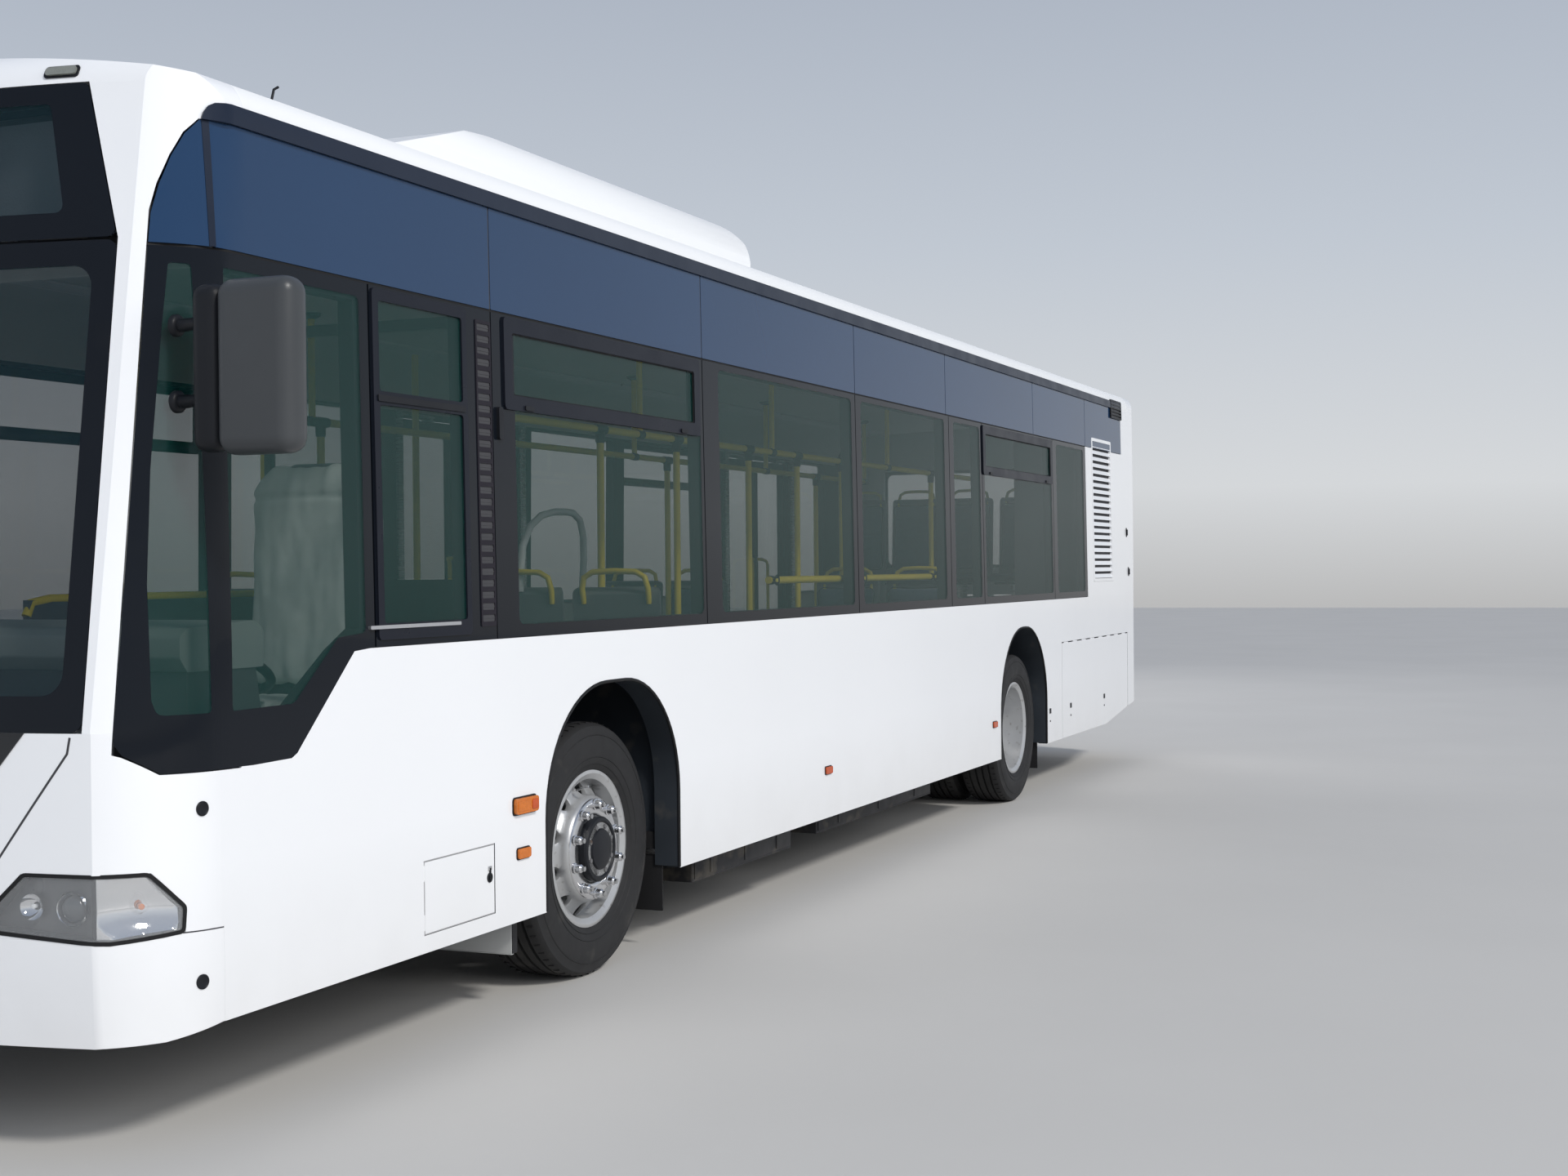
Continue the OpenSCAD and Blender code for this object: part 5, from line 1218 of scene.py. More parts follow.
# rubber round the rear window, joints of the rear corners and the rear bumper
rp.patch(rect(-0.9535, 1.4665, 0.9535, 2.3935, 0.052), REAR, 0.0015, 0.006, M["rubber"], holes=[rect(-0.9485, 1.4715, 0.9485, 2.3885, 0.048)])
for z in (0.536, 2.520):
    rp.patch(ribbon([(-1.07, z), (1.07, z)], 0.003), REAR, 0.0007, 0.001, M["seam"])
for y in (-0.985, 0.985):
    rp.patch(ribbon([(y, 0.62), (y, 1.17)], 0.003), REAR, 0.0007, 0.001, M["seam"])
# reflectors
for y in (-0.99, 0.99):
    rp.patch(rect(y - 0.045, 0.565, y + 0.045, 0.605, 0.008, 4), REAR, 0.007, 0.001, M["red"])
rp.done("body", smooth=35)

rf = Mesh("roof_fittings")
for x in (-0.80, -3.60):
    rf.patch(rect(x - 0.43, -0.36, x + 0.43, 0.36, 0.07, 6), TOP, 0.016, 0.002, M["white_top"], grid=0.12)
    rf.patch(rect(x - 0.40, -0.33, x + 0.40, 0.33, 0.06, 6), TOP, 0.040, 0.0, M["white_top"], grid=0.12)
    rf.patch(rect(x - 0.30, -0.23, x + 0.30, 0.23, 0.05, 6), TOP, 0.046, 0.0, M["white_top"], grid=0.12)
for x in (-5.05, -2.2, 0.9):
    rf.patch(ribbon([(x, -1.06), (x, 1.06)], 0.004), TOP, 0.0007, 0.001, M["seam_light"], grid=0.05)
# fans on the roof unit
for x in (1.98, 2.86):
    for y in (-0.36, 0.36):
        c = (x, y, 3.165)
        rf.lathe([(0.285, -0.004), (0.285, 0.012), (0.275, 0.018), (0.262, 0.016), (0.262, -0.004)], c, (0, 0, 1), M["black"], n=56)
        rf.lathe([(0.262, 0.002), (0, 0.002)], c, (0, 0, 1), M["seam"], n=40)
        for rr in (0.06, 0.11, 0.16, 0.21):
            rf.tube([(x + rr * math.cos(2 * math.pi * k / 40), y + rr * math.sin(2 * math.pi * k / 40), 3.179) for k in range(40)], 0.0028, M["black"], n=6, closed=True)
        for k in range(12):
            a = 2 * math.pi * k / 12
            rf.tube([(x + 0.03 * math.cos(a), y + 0.03 * math.sin(a), 3.1815), (x + 0.266 * math.cos(a), y + 0.266 * math.sin(a), 3.1765)], 0.0030, M["black"], n=6)
        rf.lathe([(0.040, 0.010), (0.040, 0.019), (0, 0.020)], c, (0, 0, 1), M["black"], n=28)
# short aerial at the front of the roof
za = roof_z(0.93)
rf.lathe([(0.022, za - 0.006), (0.022, za + 0.006), (0.012, za + 0.016), (0.007, za + 0.020), (0.0045, za + 0.030), (0.0, za + 0.032)], (4.85, 0.93, 0), (0, 0, 1), M["black"], n=24)
rf.tube([(4.85, 0.93, za + 0.022), (4.846, 0.93, za + 0.070), (4.836, 0.93, za + 0.100), (4.815, 0.93, za + 0.112)], 0.0042, M["black"], n=10)
rf.done("body", smooth=40)

# ================================================================ destination display, header, ceiling, lining
ds = Mesh("destination_display")
ds.box((5.575, -0.915, 2.455), (5.600, 0.915, 2.815), M["black"], r=0.010)
ds.box((5.600, -0.845, 2.485), (5.622, 0.845, 2.785), M["display"], r=0.012)
ds.patch(rect(-0.825, 2.505, 0.825, 2.765, 0.010), plane((5.622, 0, 0), (0, 1, 0), (0, 0, 1)), 0.003, 0.001, M["display_face"])
ds.box((5.300, -1.150, 2.395), (5.318, 1.150, 2.655), M["lining"], r=0.006)
ds.box((5.318, -1.050, 2.440), (5.600, 1.050, 2.452), M["black"], r=0.004)
ds.done("body", "black_plastic", smooth=35)

CE = [(1.190, 2.385), (1.168, 2.455), (1.120, 2.530), (1.020, 2.600), (0.880, 2.622), (0.620, 2.633), (0.300, 2.650), (0.0, 2.656)]
ce = Mesh("ceiling_lining")
half = CE + [(-y, z) for y, z in CE[::-1][1:]]
ce.extrude(half + [(y * 1.004, z + 0.006) for y, z in half[::-1]], lambda u, v, h: (h, u, v), -5.550, 5.300, M["lining"])
for s in (1, -1):
    ce.box((-5.20, s * 0.665, 2.6205), (4.95, s * 0.795, 2.6290), M["light_strip"], r=0.003)
    ce.box((-5.22, s * 0.655, 2.6235), (4.97, s * 0.665, 2.6345), M["alu"], r=0.002)
    ce.box((-5.22, s * 0.795, 2.6195), (4.97, s * 0.805, 2.6290), M["alu"], r=0.002)
# wall lining under the windows
for s, segs in ((1, ((-4.320, -3.120, 0.372), (-3.105, -1.845, 1.187), (-1.832, 2.672, 0.372), (2.685, 3.882, 1.167))),
                (-1, ((-5.560, -4.800, 1.002), (-3.240, -3.120, 0.372), (-3.105, -1.845, 1.187), (-1.832, -0.372, 0.372), (1.066, 2.672, 0.372), (2.685, 3.882, 1.167)))):
    for a, b, z in segs:
        ce.box((a, s * 1.2085, z), (b, s * 1.2145, 1.338), M["lining"], r=0.002)
        ce.box((a, s * 1.2035, 1.326), (b, s * 1.2145, 1.341), M["alu"], r=0.002)
ce.done("body", smooth=40)

# ================================================================ driver's place
dc = Mesh("dash_hood")
dc.extrude(rounded([(5.216, 1.262), (5.216, 1.372), (5.262, 1.396), (5.545, 1.381), (5.575, 1.358), (5.575, 1.300), (5.545, 1.262)], [0.01, 0.03, 0.04, 0.03, 0.02, 0.02, 0.01], 4),
           lambda u, v, h: (u, h, v), 0.052, 1.158, M["hood"])
# instrument panel under the hood, facing the driver
IP = plane((5.150, 0.700, 1.060), (0, -1, 0), (0.30, 0, 0.954))
dc.patch(rect(-0.30, -0.010, 0.30, 0.185, 0.03), IP, 0.012, 0.02, M["desk"])
dc.patch(rect(-0.15, 0.020, 0.15, 0.165, 0.015), IP, 0.015, 0.0, M["screen_black"])
for cx in (-0.085, 0.085):
    p, n = numeric_normal(IP, cx, 0.093)
    dc.lathe([(0.058, 0.014), (0.058, 0.020), (0.053, 0.021), (0.052, 0.017), (0, 0.017)], p, n, M["chrome"], n=40)
    dc.lathe([(0.0515, 0.0175), (0, 0.0176)], p, n, M["screen_black"], n=36)
    dc.lathe([(0.006, 0.018), (0.005, 0.022), (0, 0.023)], p, n, M["black"], n=16)
    dc.tube([p + n * 0.020, p + n * 0.020 + Vector((0, 0.030, -0.022))], 0.0012, M["plate"], n=6)
for i in range(10):
    for sd in (-1, 1):
        p, n = numeric_normal(IP, sd * (0.180 + 0.024 * (i % 5)), 0.060 + 0.045 * (i // 5))
        dc.box(p - Vector((0.004, 0.008, 0.012)), p + n * 0.020 + Vector((0.0, 0.008, 0.012)), M["black"], r=0.002)
# windscreen side trim of the dash
dc.box((5.540, -1.050, 1.080), (5.760, 1.050, 1.098), M["desk"], r=0.008)
# partition glass behind the driver, the post at its inner edge, gate top
dc.box((3.902, 0.212, 1.503), (3.908, 1.158, 2.378), M["inner_glass"], r=0.001)
dc.tube([(3.905, 0.175, 0.66), (3.905, 0.175, 1.45), (3.905, 0.175, 2.40)], 0.017, M["yellow"], n=18)
dc.tube([(3.930, 0.178, 1.452), (5.000, 0.178, 1.452), (5.080, 0.178, 1.440), (5.100, 0.178, 1.400)], 0.015, M["yellow"], n=16)
dc.done("body", smooth=35)

sw = Mesh("steering_wheel_rim")
SC = Vector((4.940, 0.700, 1.250))
E1, E2, E3 = Vector((0.90631, 0, 0.42262)), Vector((0, 1, 0)), Vector((-0.42262, 0, 0.90631))
W = lambda a, b, c: SC + E1 * a + E2 * b + E3 * c
sw.tube([W(0.225 * math.cos(2 * math.pi * k / 72), 0.225 * math.sin(2 * math.pi * k / 72), 0) for k in range(72)], 0.0155, M["black"], n=16, closed=True)
for a in (math.radians(150), math.radians(210), math.radians(0)):
    c_, s_ = math.cos(a), math.sin(a)
    sw.tube([W(c_ * r, s_ * r, h) for r, h in ((0.03, -0.014), (0.08, -0.014), (0.15, -0.010), (0.222, -0.001))], [0.020, 0.018, 0.014, 0.012], M["black"], n=12, flat=0.5)
sw.lathe([(0.0, -0.028), (0.044, -0.026), (0.060, -0.014), (0.064, 0.000), (0.058, 0.010), (0.045, 0.015), (0.0, 0.018)], SC, E3, M["black"], n=40)
sw.lathe([(0.030, 0.0165), (0.027, 0.0195), (0.0, 0.0205)], SC, E3, M["desk"], n=32)
sw.done("steering_wheel", smooth=45, replaces=("steering_wheel",))

# ================================================================ rails and posts
POSTS = [(1.760, 0.430), (0.942, 0.430), (0.035, 0.430), (-0.671, 0.430), (-0.732, -0.430), (-1.400, 0.430), (-1.400, -0.430),
         (2.720, -0.430), (-3.160, 0.430), (-3.160, -0.430)]
rs = Mesh("rail_fittings")
for x, y in POSTS + [(1.560, -0.700)]:
    rs.lathe([(0.046, 0.3695), (0.046, 0.3755), (0.040, 0.379), (0.024, 0.384), (0.0205, 0.400), (0.0172, 0.402)], (x, y, 0), (0, 0, 1), M["steel"], n=32)
for x, y in POSTS:
    rs.lathe([(0.0172, 2.116), (0.0215, 2.118), (0.0225, 2.124), (0.0225, 2.166)], (x, y, 0), (0, 0, 1), M["black"], n=24)
    rs.lathe([(0.0172, -0.050), (0.0225, -0.046), (0.0225, 0.046), (0.0172, 0.050)], (x, y, 2.180), (1, 0, 0), M["black"], n=24)
for s in (1, -1):
    for x in (-4.180, -2.250, -0.300, 1.350, 2.780):
        rs.lathe([(0.0172, -0.030), (0.0215, -0.027), (0.0215, 0.027), (0.0172, 0.030)], (x, s * 0.430, 2.180), (1, 0, 0), M["black"], n=24)
        rs.lathe([(0.0152, 2.620), (0.024, 2.624), (0.040, 2.632), (0.042, 2.646)], (x, s * 0.430, 0), (0, 0, 1), M["black"], n=28)
    for x in (-4.200, 2.800):
        rs.lathe([(0.0, -0.006), (0.012, -0.005), (0.0172, 0.0), (0.0172, 0.002)] if x < 0 else [(0.0172, -0.002), (0.0172, 0.0), (0.012, 0.005), (0.0, 0.006)], (x, s * 0.430, 2.180), (1, 0, 0), M["black"], n=24)
for x in (-0.840, 0.340, 1.520):
    rs.lathe([(0.0172, -0.016), (0.0205, -0.014), (0.0205, 0.014), (0.0172, 0.016)], (x, 1.180, 1.475), (1, 0, 0), M["black"], n=24)
    rs.lathe([(0.026, 1.2140), (0.026, 1.2085), (0.014, 1.204), (0.012, 1.196)], (x, 0, 1.475), (0, 1, 0), M["black"], n=24)
# grab hoop by the seats over the left front wheel
hoop = [(2.088, 0.500, 0.372), (2.088, 0.500, 0.800), (2.088, 0.500, 1.200), (2.080, 0.500, 1.420), (2.062, 0.500, 1.580), (2.064, 0.500, 1.680), (2.096, 0.500, 1.752),
        (2.160, 0.500, 1.782), (2.222, 0.500, 1.785)]
rs.tube(hoop, 0.0155, M["hoop_grey"], n=16)
rs.tube([(2.222, 0.500, 1.785), (2.330, 0.500, 1.782), (2.440, 0.500, 1.765), (2.540, 0.500, 1.715), (2.602, 0.500, 1.630), (2.622, 0.500, 1.520), (2.626, 0.500, 1.440)], 0.0155, M["hoop_grey"], n=16)
rs.lathe([(0.040, 0.3695), (0.040, 0.3755), (0.034, 0.379), (0.020, 0.384), (0.0165, 0.398)], (2.088, 0.500, 0), (0, 0, 1), M["steel"], n=28)
# yellow nosing at the doors and the step
for xc in DOORS.values():
    rs.box((xc - 0.600, -1.208, 0.3702), (xc + 0.600, -1.168, 0.3735), M["yellow"], r=0.001)
rs.box((-4.5395, -0.498, 0.672), (-4.5365, 0.498, 0.687), M["yellow"], r=0.001)
rs.box((-4.7795, -0.498, 0.987), (-4.7765, 0.498, 1.002), M["yellow"], r=0.001)
rs.done("body", smooth=40)

# ================================================================ seats
def spline(pts, n=8):
    """A smooth line through the points, with its running length."""
    P = [np.array(p, float) for p in pts]
    P = [2 * P[0] - P[1]] + P + [2 * P[-1] - P[-2]]
    out = []
    for i in range(1, len(P) - 2):
        for k in range(n):
            t = k / n
            a, b, c, e = P[i - 1], P[i], P[i + 1], P[i + 2]
            out.append(0.5 * (2 * b + (c - a) * t + (2 * a - 5 * b + 4 * c - e) * t * t + (3 * b - a - 3 * c + e) * t ** 3))
    out.append(P[-2])
    out = np.array(out)
    s = np.concatenate([[0], np.cumsum(np.linalg.norm(np.diff(out, axis=0), axis=1))])
    return out, s


def stuffed(name, size, radius, voxel, cap, pressure=4.0, shape=None, sew=None):
    """A stuffed pad: a rounded block is remeshed, blown up by cloth simulation, sewn, and smoothed. Returns its mesh."""
    bm = bmesh.new()
    bmesh.ops.create_cube(bm, size=1.0)
    for v in bm.verts:
        v.co = Vector((v.co.x * size[0], v.co.y * size[1], v.co.z * size[2]))
    bmesh.ops.bevel(bm, geom=list(bm.edges), offset=radius, segments=3, profile=0.5, affect="EDGES")
    me = bpy.data.meshes.new(name + "_block")
    bm.to_mesh(me)
    bm.free()
    o = bpy.data.objects.new(name + "_block", me)
    COLL.objects.link(o)
    rm = o.modifiers.new("remesh", "REMESH")
    rm.mode = "VOXEL"
    rm.voxel_size = voxel
    dg = bpy.context.evaluated_depsgraph_get()
    me2 = bpy.data.meshes.new_from_object(o.evaluated_get(dg))
    bpy.data.objects.remove(o)
    if shape:
        for v in me2.vertices:
            v.co = Vector(shape(*v.co))
    o = bpy.data.objects.new(name + "_cloth", me2)
    COLL.objects.link(o)
    rest = np.array([v.co[:] for v in me2.vertices])
    pos = rest.copy()
    cl = o.modifiers.new("cloth", "CLOTH")
    st = cl.settings
    st.quality = 4
    st.mass = 0.3
    st.tension_stiffness = 12
    st.compression_stiffness = 12
    st.shear_stiffness = 5
    st.bending_stiffness = 0.6
    st.use_pressure = True
    st.uniform_pressure_force = pressure
    st.effector_weights.gravity = 0
    cl.collision_settings.use_collision = False
    cl.point_cache.frame_start, cl.point_cache.frame_end = 1, 20
    for f in range(1, 21):
        scene.frame_set(f)
    dg = bpy.context.evaluated_depsgraph_get()
    ev = o.evaluated_get(dg).to_mesh()
    pos = np.array([v.co[:] for v in ev.vertices])
    o.evaluated_get(dg).to_mesh_clear()
    o.modifiers.remove(cl)
    scene.frame_set(1)
    mv = pos - rest
    ln = np.linalg.norm(mv, axis=1)
    mv *= (np.minimum(ln, cap) / np.maximum(ln, 1e-9))[:, None]
    pos = rest + mv
    if sew:
        nrm = np.array([v.normal[:] for v in me2.vertices])
        pos = sew(pos, rest, nrm)
    for v, p in zip(me2.vertices, pos):
        v.co = p
    ss = o.modifiers.new("smooth", "SUBSURF")
    ss.levels = ss.render_levels = 1
    dg = bpy.context.evaluated_depsgraph_get()
    out = bpy.data.meshes.new_from_object(o.evaluated_get(dg))
    out.name = name
    bpy.data.objects.remove(o)
    out.polygons.foreach_set("use_smooth", [True] * len(out.polygons))
    return out


def welt(me, n=72):
    """Points of the widest line round a pad that lies flat in X and Y."""
    c = np.array([v.co[:] for v in me.vertices])
    zc = (c[:, 2].max() + c[:, 2].min()) / 2
    ang = np.arctan2(c[:, 1], c[:, 0])
    rad = np.hypot(c[:, 0], c[:, 1])
    pts = []
    for k in range(n):
        a = -math.pi + 2 * math.pi * (k + 0.5) / n
        w = np.abs(np.angle(np.exp(1j * (ang - a)))) < math.pi / n * 1.6
        i = np.argmax(np.where(w, rad, 0))
        pts.append((rad[i] * math.cos(a), rad[i] * math.sin(a), zc))
    return pts


def sew_lines(lines, depth, width, side):
    """Sewn channels: (axis, place) lines pressed into the face whose normal points to side along Z."""
    def f(pos, rest, nrm):
        w = np.clip(nrm[:, 2] * side, 0, 1) ** 0.5
        for ax, at in lines:
            pos[:, 2] -= side * w * depth * np.exp(-((rest[:, ax] - at) / width) ** 2)
        return pos
    return f


seat_pad = stuffed("seat_pad", (0.325, 0.375, 0.040), 0.016, 0.014, 0.010, sew=sew_lines([(0, -0.055), (0, 0.055)], 0.0065, 0.009, 1))
back_pad = stuffed("back_pad", (0.535, 0.362, 0.034), 0.014, 0.014, 0.010, sew=sew_lines([(0, -0.10), (0, 0.02), (0, 0.14)], 0.0060, 0.009, 1))


def place(me, name, mat, loc, rot, body="body", slot="seat_fabric"):
    m2 = me.copy()
    m2.name = name
    m2.transform(Matrix.Translation(loc) @ rot)
    m2.materials.clear()
    m2.materials.append(mat)
    o = bpy.data.objects.new(name, m2)
    COLL.objects.link(o)
    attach(o, body)
    return o


SEATS = [(2.640, 0.950, 0.370, -1), (2.640, 0.500, 0.370, -1), (-1.330, 0.950, 0.370, 1), (-1.330, 0.500, 0.370, 1), (-1.330, -0.950, 0.370, 1),
         (-1.330, -0.500, 0.370, 1), (2.640, -0.950, 0.370, -1), (-5.580, 0.440, 1.000, 1), (-5.580, -0.020, 1.000, 1), (-5.580, -0.480, 1.000, 1),
         (-5.580, -0.940, 1.000, 1)]
line, run = spline([(0.480, 0.446), (0.462, 0.424), (0.400, 0.412), (0.260, 0.407), (0.130, 0.410), (0.082, 0.428), (0.055, 0.478), (0.044, 0.600), (0.032, 0.800),
                    (0.018, 1.000), (0.014, 1.062), (0.030, 1.084), (0.052, 1.088)])
shells = Mesh("seat_shells")
wp_, bp_ = welt(seat_pad), welt(back_pad, 80)
for i, (sx, sy, sz, f) in enumerate(SEATS):
    def SH(u, v):
        v = min(max(v, 0.0), run[-1])
        return (sx + f * float(np.interp(v, run, line[:, 0])), sy + f * u, sz + float(np.interp(v, run, line[:, 1])))
    shells.patch(rect(-0.202, 0.002, 0.202, run[-1] - 0.002, 0.055, 6), SH, 0.0075, 0.0, M["seat_shell"], grid=0.055)
    R_ = Matrix.Rotation(0 if f > 0 else math.pi, 4, "Z")
    pos = Matrix.Translation((sx, sy, sz)) @ R_
    A = pos @ Matrix.Translation((0.300, 0, 0.4440)) @ Matrix.Rotation(math.radians(-1.5), 4, "Y")
    # the back pad's X runs up the back, its Z forward
    B = pos @ Matrix.Translation((0.068, 0, 0.7750)) @ Matrix(((-0.060, 0, 1, 0), (0, -1, 0, 0), (0.998, 0, 0.060, 0), (0, 0, 0, 1)))
    place(seat_pad, f"seat_cushion_{i + 1}", M["fabric"], (0, 0, 0), A)
    place(back_pad, f"seat_back_pad_{i + 1}", M["fabric"], (0, 0, 0), B)
    shells.tube([A @ Vector(p) for p in wp_], 0.0032, M["piping"], n=6, closed=True)
    shells.tube([B @ Vector(p) for p in bp_], 0.0032, M["piping"], n=6, closed=True)
    # pedestal, its foot, and the handle over the back
    q = lambda x, y, z: pos @ Vector((x, y, z))
    shells.tube([q(0.255, 0, 0.0), q(0.255, 0, 0.20), q(0.250, 0, 0.395)], [0.048, 0.040, 0.050], M["steel"], n=24)
    shells.lathe([(0.085, 0.0), (0.085, 0.006), (0.060, 0.014), (0.046, 0.030)], q(0.255, 0, 0), (0, 0, 1), M["steel"], n=32)
    a, b = q(0.10, -0.14, 0.388), q(0.42, 0.14, 0.404)
    shells.box(a, b, M["black"], r=0.006)
    hp = [(0.020, -0.150, 1.020), (0.006, -0.152, 1.080), (0.000, -0.140, 1.128), (0.000, -0.100, 1.150), (0.000, 0.0, 1.154), (0.000, 0.100, 1.150), (0.000, 0.140, 1.128),
          (0.006, 0.152, 1.080), (0.020, 0.150, 1.020)]
    shells.tube([q(*p) for p in hp], 0.0125, M["yellow"], n=12)
shells.done("body", smooth=40, replaces=("seats",))

# driver's seat with its loose pale cover
from mathutils import noise as mnoise
DS = Vector((4.290, 0.700, 0.640))


def taper(x, y, z):      # X runs up the back
    t = min(1.0, max(0.0, (x - 0.285) / 0.10))
    return (x, y * (1 - 0.34 * t ** 1.4), z - 0.012 * t)


def loose(pos, rest, nrm):
    for i, (r, n_) in enumerate(zip(rest, nrm)):
        f = mnoise.noise(Vector((r[0] * 3.0, r[1] * 16.0, r[2] * 5.0))) + 0.5 * mnoise.noise(Vector((r[0] * 9.0 + 5, r[1] * 30.0, 1.0)))
        pos[i] += n_ * 0.0095 * f
    g = np.exp(-((rest[:, 0] - 0.262) / 0.010) ** 2)
    pos -= nrm * (0.010 * g)[:, None]
    return pos


cover_back = stuffed("driver_back", (0.755, 0.472, 0.075), 0.030, 0.0115, 0.012, shape=taper, sew=loose)
cover_seat = stuffed("driver_cushion", (0.430, 0.435, 0.075), 0.028, 0.0125, 0.012, sew=sew_lines([(1, -0.13), (1, 0.13)], 0.008, 0.010, 1))
Bd = Matrix.Translation(DS + Vector((0.062, 0, 0.880))) @ Matrix(((-0.045, 0, 1, 0), (0, -1, 0, 0), (0.999, 0, 0.045, 0), (0, 0, 0, 1)))
place(cover_back, "driver_seat_back", M["seat_cover"], (0, 0, 0), Bd)
place(cover_seat, "driver_seat_cushion", M["seat_cover"], (0, 0, 0), Matrix.Translation(DS + Vector((0.285, 0, 0.436))))
dsm = Mesh("driver_seat_frame")
for k in range(7):
    g = 0.010 * (k % 2)
    dsm.box(DS + Vector((0.110 + g, -0.165 + g, 0.050 + 0.046 * k)), DS + Vector((0.440 - g, 0.165 - g, 0.096 + 0.046 * k)), M["rubber"], r=0.014, seg=3)
dsm.box(DS + Vector((0.080, -0.185, 0.0)), DS + Vector((0.460, 0.185, 0.052)), M["black"], r=0.010)
dsm.box(DS + Vector((0.050, -0.215, 0.368)), DS + Vector((0.500, 0.215, 0.400)), M["black"], r=0.012)
for s in (1, -1):
    dsm.tube([DS + Vector((0.10, s * 0.228, 0.39)), DS + Vector((0.06, s * 0.232, 0.50)), DS + Vector((0.045, s * 0.226, 0.70))], 0.014, M["black"], n=12)
dsm.patch(rounded([(-0.215, 0.50), (0.215, 0.50), (0.215, 1.06), (0.17, 1.26), (-0.17, 1.26), (-0.215, 1.06)], 0.05), plane((DS.x + 0.016, DS.y, DS.z), (0, -1, 0), (-0.045, 0, 0.999)), 0.012, 0.0, M["seat_shell"], grid=0.1)
dsm.done("body", smooth=40)

# ================================================================ under the floor
ub = Mesh("underbody_parts")
for y in (-0.960, -0.740):
    ub.lathe([(0, -1.560), (0.040, -1.556), (0.070, -1.540), (0.082, -1.512), (0.084, -1.480), (0.084, -0.680), (0.082, -0.648), (0.070, -0.620), (0.040, -0.604), (0, -0.600)],
             (0, y, 0.238), (1, 0, 0), M["chassis"], n=36)
    for x in (-1.38, -0.78):
        ub.lathe([(0.0845, x - 0.018), (0.0875, x - 0.016), (0.0875, x + 0.016), (0.0845, x + 0.018)], (0, y, 0.238), (1, 0, 0), M["steel"], n=36)
        ub.box((x - 0.018, y - 0.020, 0.318), (x + 0.018, y + 0.020, 0.333), M["chassis"], r=0.002)
# ribs and lids on the boxes under the skirts
for b in ((2.400, 1.300, 1.180, 0.215), (0.900, -0.900, 1.150, 0.225)):
    ub.box((b[1] + 0.02, b[2], b[3] + 0.012), (b[0] - 0.02, b[2] + 0.004, 0.328), M["chassis"], r=0.0015)
    for k in range(3):
        x = b[1] + (b[0] - b[1]) * (k + 0.5) / 3
        ub.box((x - 0.012, b[2] + 0.004, b[3] + 0.02), (x + 0.012, b[2] + 0.007, 0.322), M["chassis"], r=0.001)
# pale plate ahead of the left front wheel
ub.box((3.880, 0.772, 0.192), (3.8835, 1.178, 0.3300), M["panel_grey"], r=0.001)
ub.box((3.868, 0.772, 0.1885), (3.8835, 1.178, 0.1915), M["panel_grey"], r=0.001)
# cross members between the rails
for x in (4.90, 4.10, 2.35, 1.10, 0.10, -0.90, -1.90, -3.40, -4.30, -5.20):
    ub.box((x - 0.030, -0.349, 0.283), (x + 0.030, 0.349, 0.330), M["chassis"], r=0.003)
ub.done("body", "chassis_paint", smooth=40)

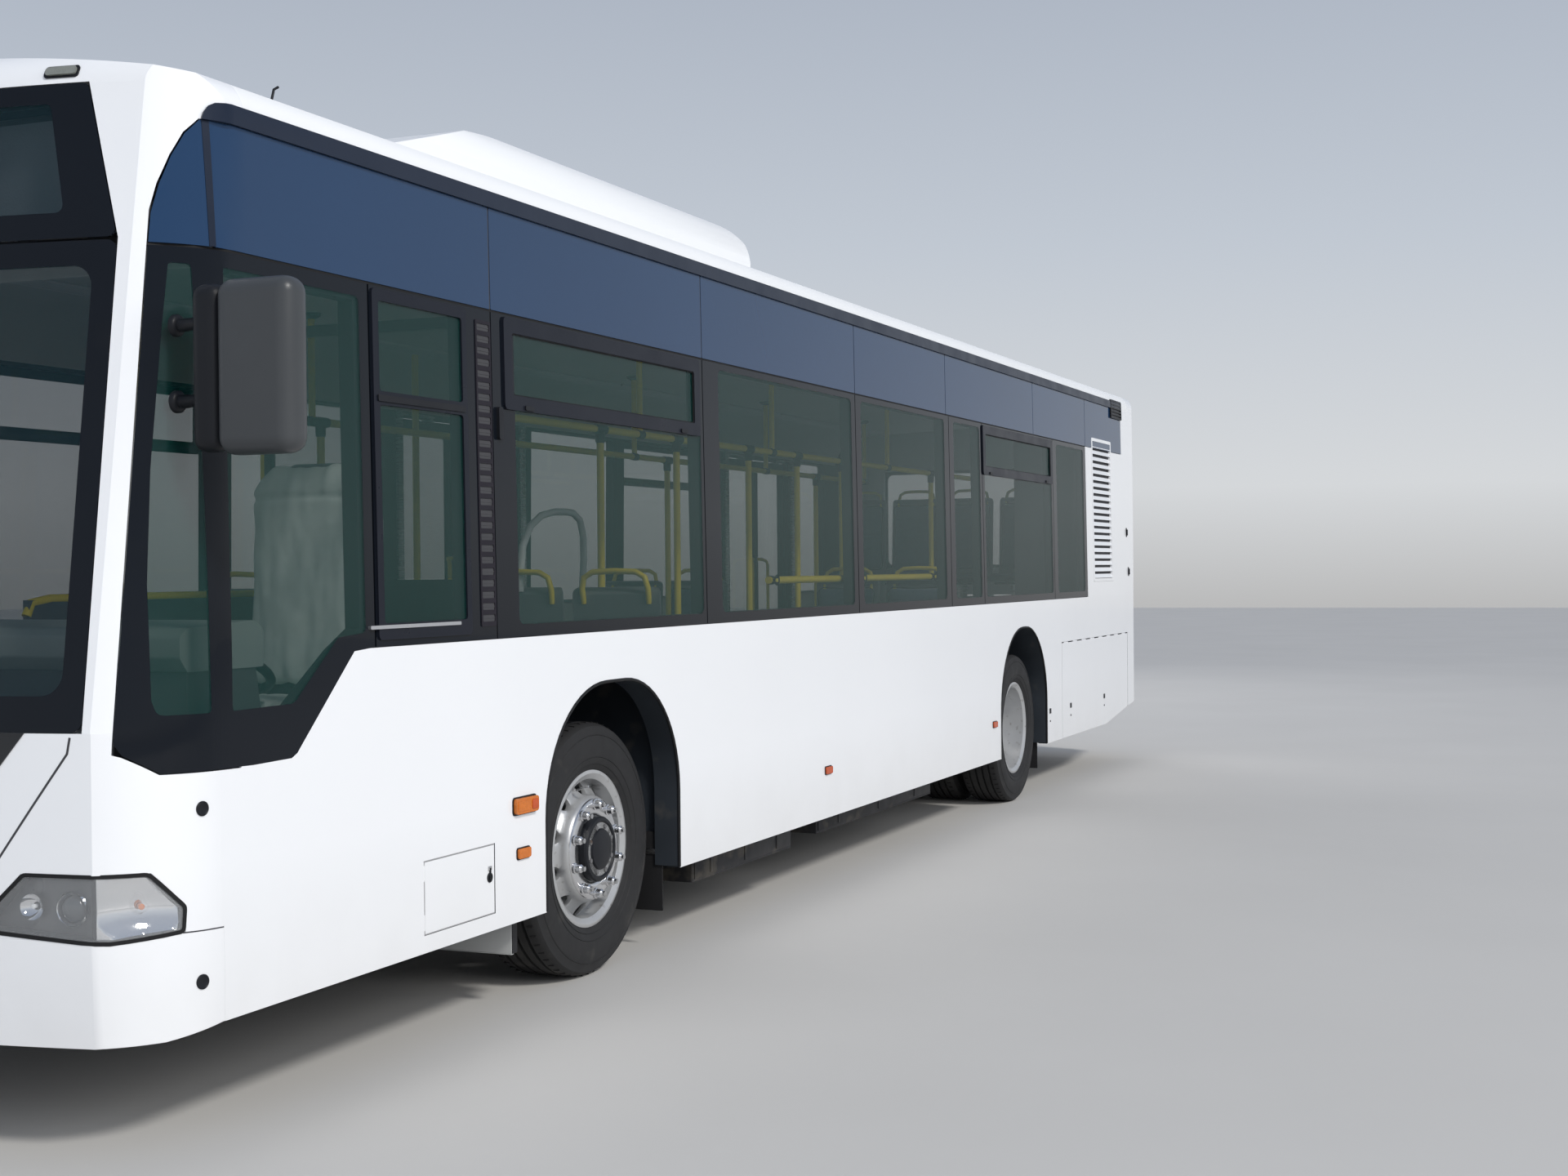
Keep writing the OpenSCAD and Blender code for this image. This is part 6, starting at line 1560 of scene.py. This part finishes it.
# ================================================================ floor of the studio, light
def studio():
    me = bpy.data.meshes.new("studio_floor")
    s = 60
    me.from_pydata([(-s, -s, 0), (s, -s, 0), (s, s, 0), (-s, s, 0)], [], [(0, 1, 2, 3)])
    o = bpy.data.objects.new("studio_floor", me)
    COLL.objects.link(o)
    me.materials.append(material("pale_floor", (0.56, 0.545, 0.52), 0.85, vary=0.02, scale=0.6, bump=0.05, bump_scale=30))
    w = bpy.data.worlds.new("studio") if not scene.world else scene.world
    scene.world = w
    w.use_nodes = True
    nt = w.node_tree
    nt.nodes.clear()
    out = nt.nodes.new("ShaderNodeOutputWorld")
    bg = nt.nodes.new("ShaderNodeBackground")
    bg.inputs[1].default_value = 0.95
    nt.links.new(bg.outputs[0], out.inputs[0])
    tc = nt.nodes.new("ShaderNodeTexCoord")
    sep = nt.nodes.new("ShaderNodeSeparateXYZ")
    nt.links.new(tc.outputs["Generated"], sep.inputs[0])
    cr = nt.nodes.new("ShaderNodeValToRGB")
    el = cr.color_ramp.elements
    el[0].position, el[0].color = 0.0, (0.40, 0.39, 0.38, 1)
    el[1].position, el[1].color = 1.0, (0.20, 0.26, 0.38, 1)
    for pos, col in ((0.48, (0.46, 0.455, 0.45, 1)), (0.52, (0.70, 0.72, 0.74, 1)), (0.58, (0.56, 0.61, 0.68, 1)), (0.72, (0.30, 0.35, 0.45, 1))):
        e = el.new(pos)
        e.color = col
    mp = nt.nodes.new("ShaderNodeMapRange")
    mp.inputs["From Min"].default_value = -1
    mp.inputs["From Max"].default_value = 1
    nt.links.new(sep.outputs["Z"], mp.inputs["Value"])
    nt.links.new(mp.outputs["Result"], cr.inputs[0])
    nt.links.new(cr.outputs[0], bg.inputs[0])

    def area(name, loc, target, size, power, color=(1, 1, 1)):
        l = bpy.data.lights.new(name, "AREA")
        l.shape = "RECTANGLE"
        l.size, l.size_y = size
        l.energy = power
        l.color = color
        ob = bpy.data.objects.new(name, l)
        ob.location = loc
        d = Vector(target) - Vector(loc)
        ob.rotation_euler = d.to_track_quat("-Z", "Y").to_euler()
        ob.visible_glossy = False
        COLL.objects.link(ob)
    sun = bpy.data.lights.new("sun", "SUN")
    sun.energy = 1.95
    sun.angle = math.radians(9)
    sun.color = (1.0, 0.975, 0.93)
    so = bpy.data.objects.new("sun", sun)
    so.rotation_euler = Vector((-0.42, -0.90, -0.85)).to_track_quat("-Z", "Y").to_euler()
    COLL.objects.link(so)
    area("left_fill", (8, 16, 7), (0, 0, 1.2), (12, 6), 900, (1.0, 0.99, 0.97))
    area("front_fill", (17, 0, 6), (5, 0, 1.2), (7, 6), 170, (0.97, 0.99, 1.0))
    area("rear_fill", (-14, -8, 7), (0, 0, 1), (8, 6), 500)


studio()
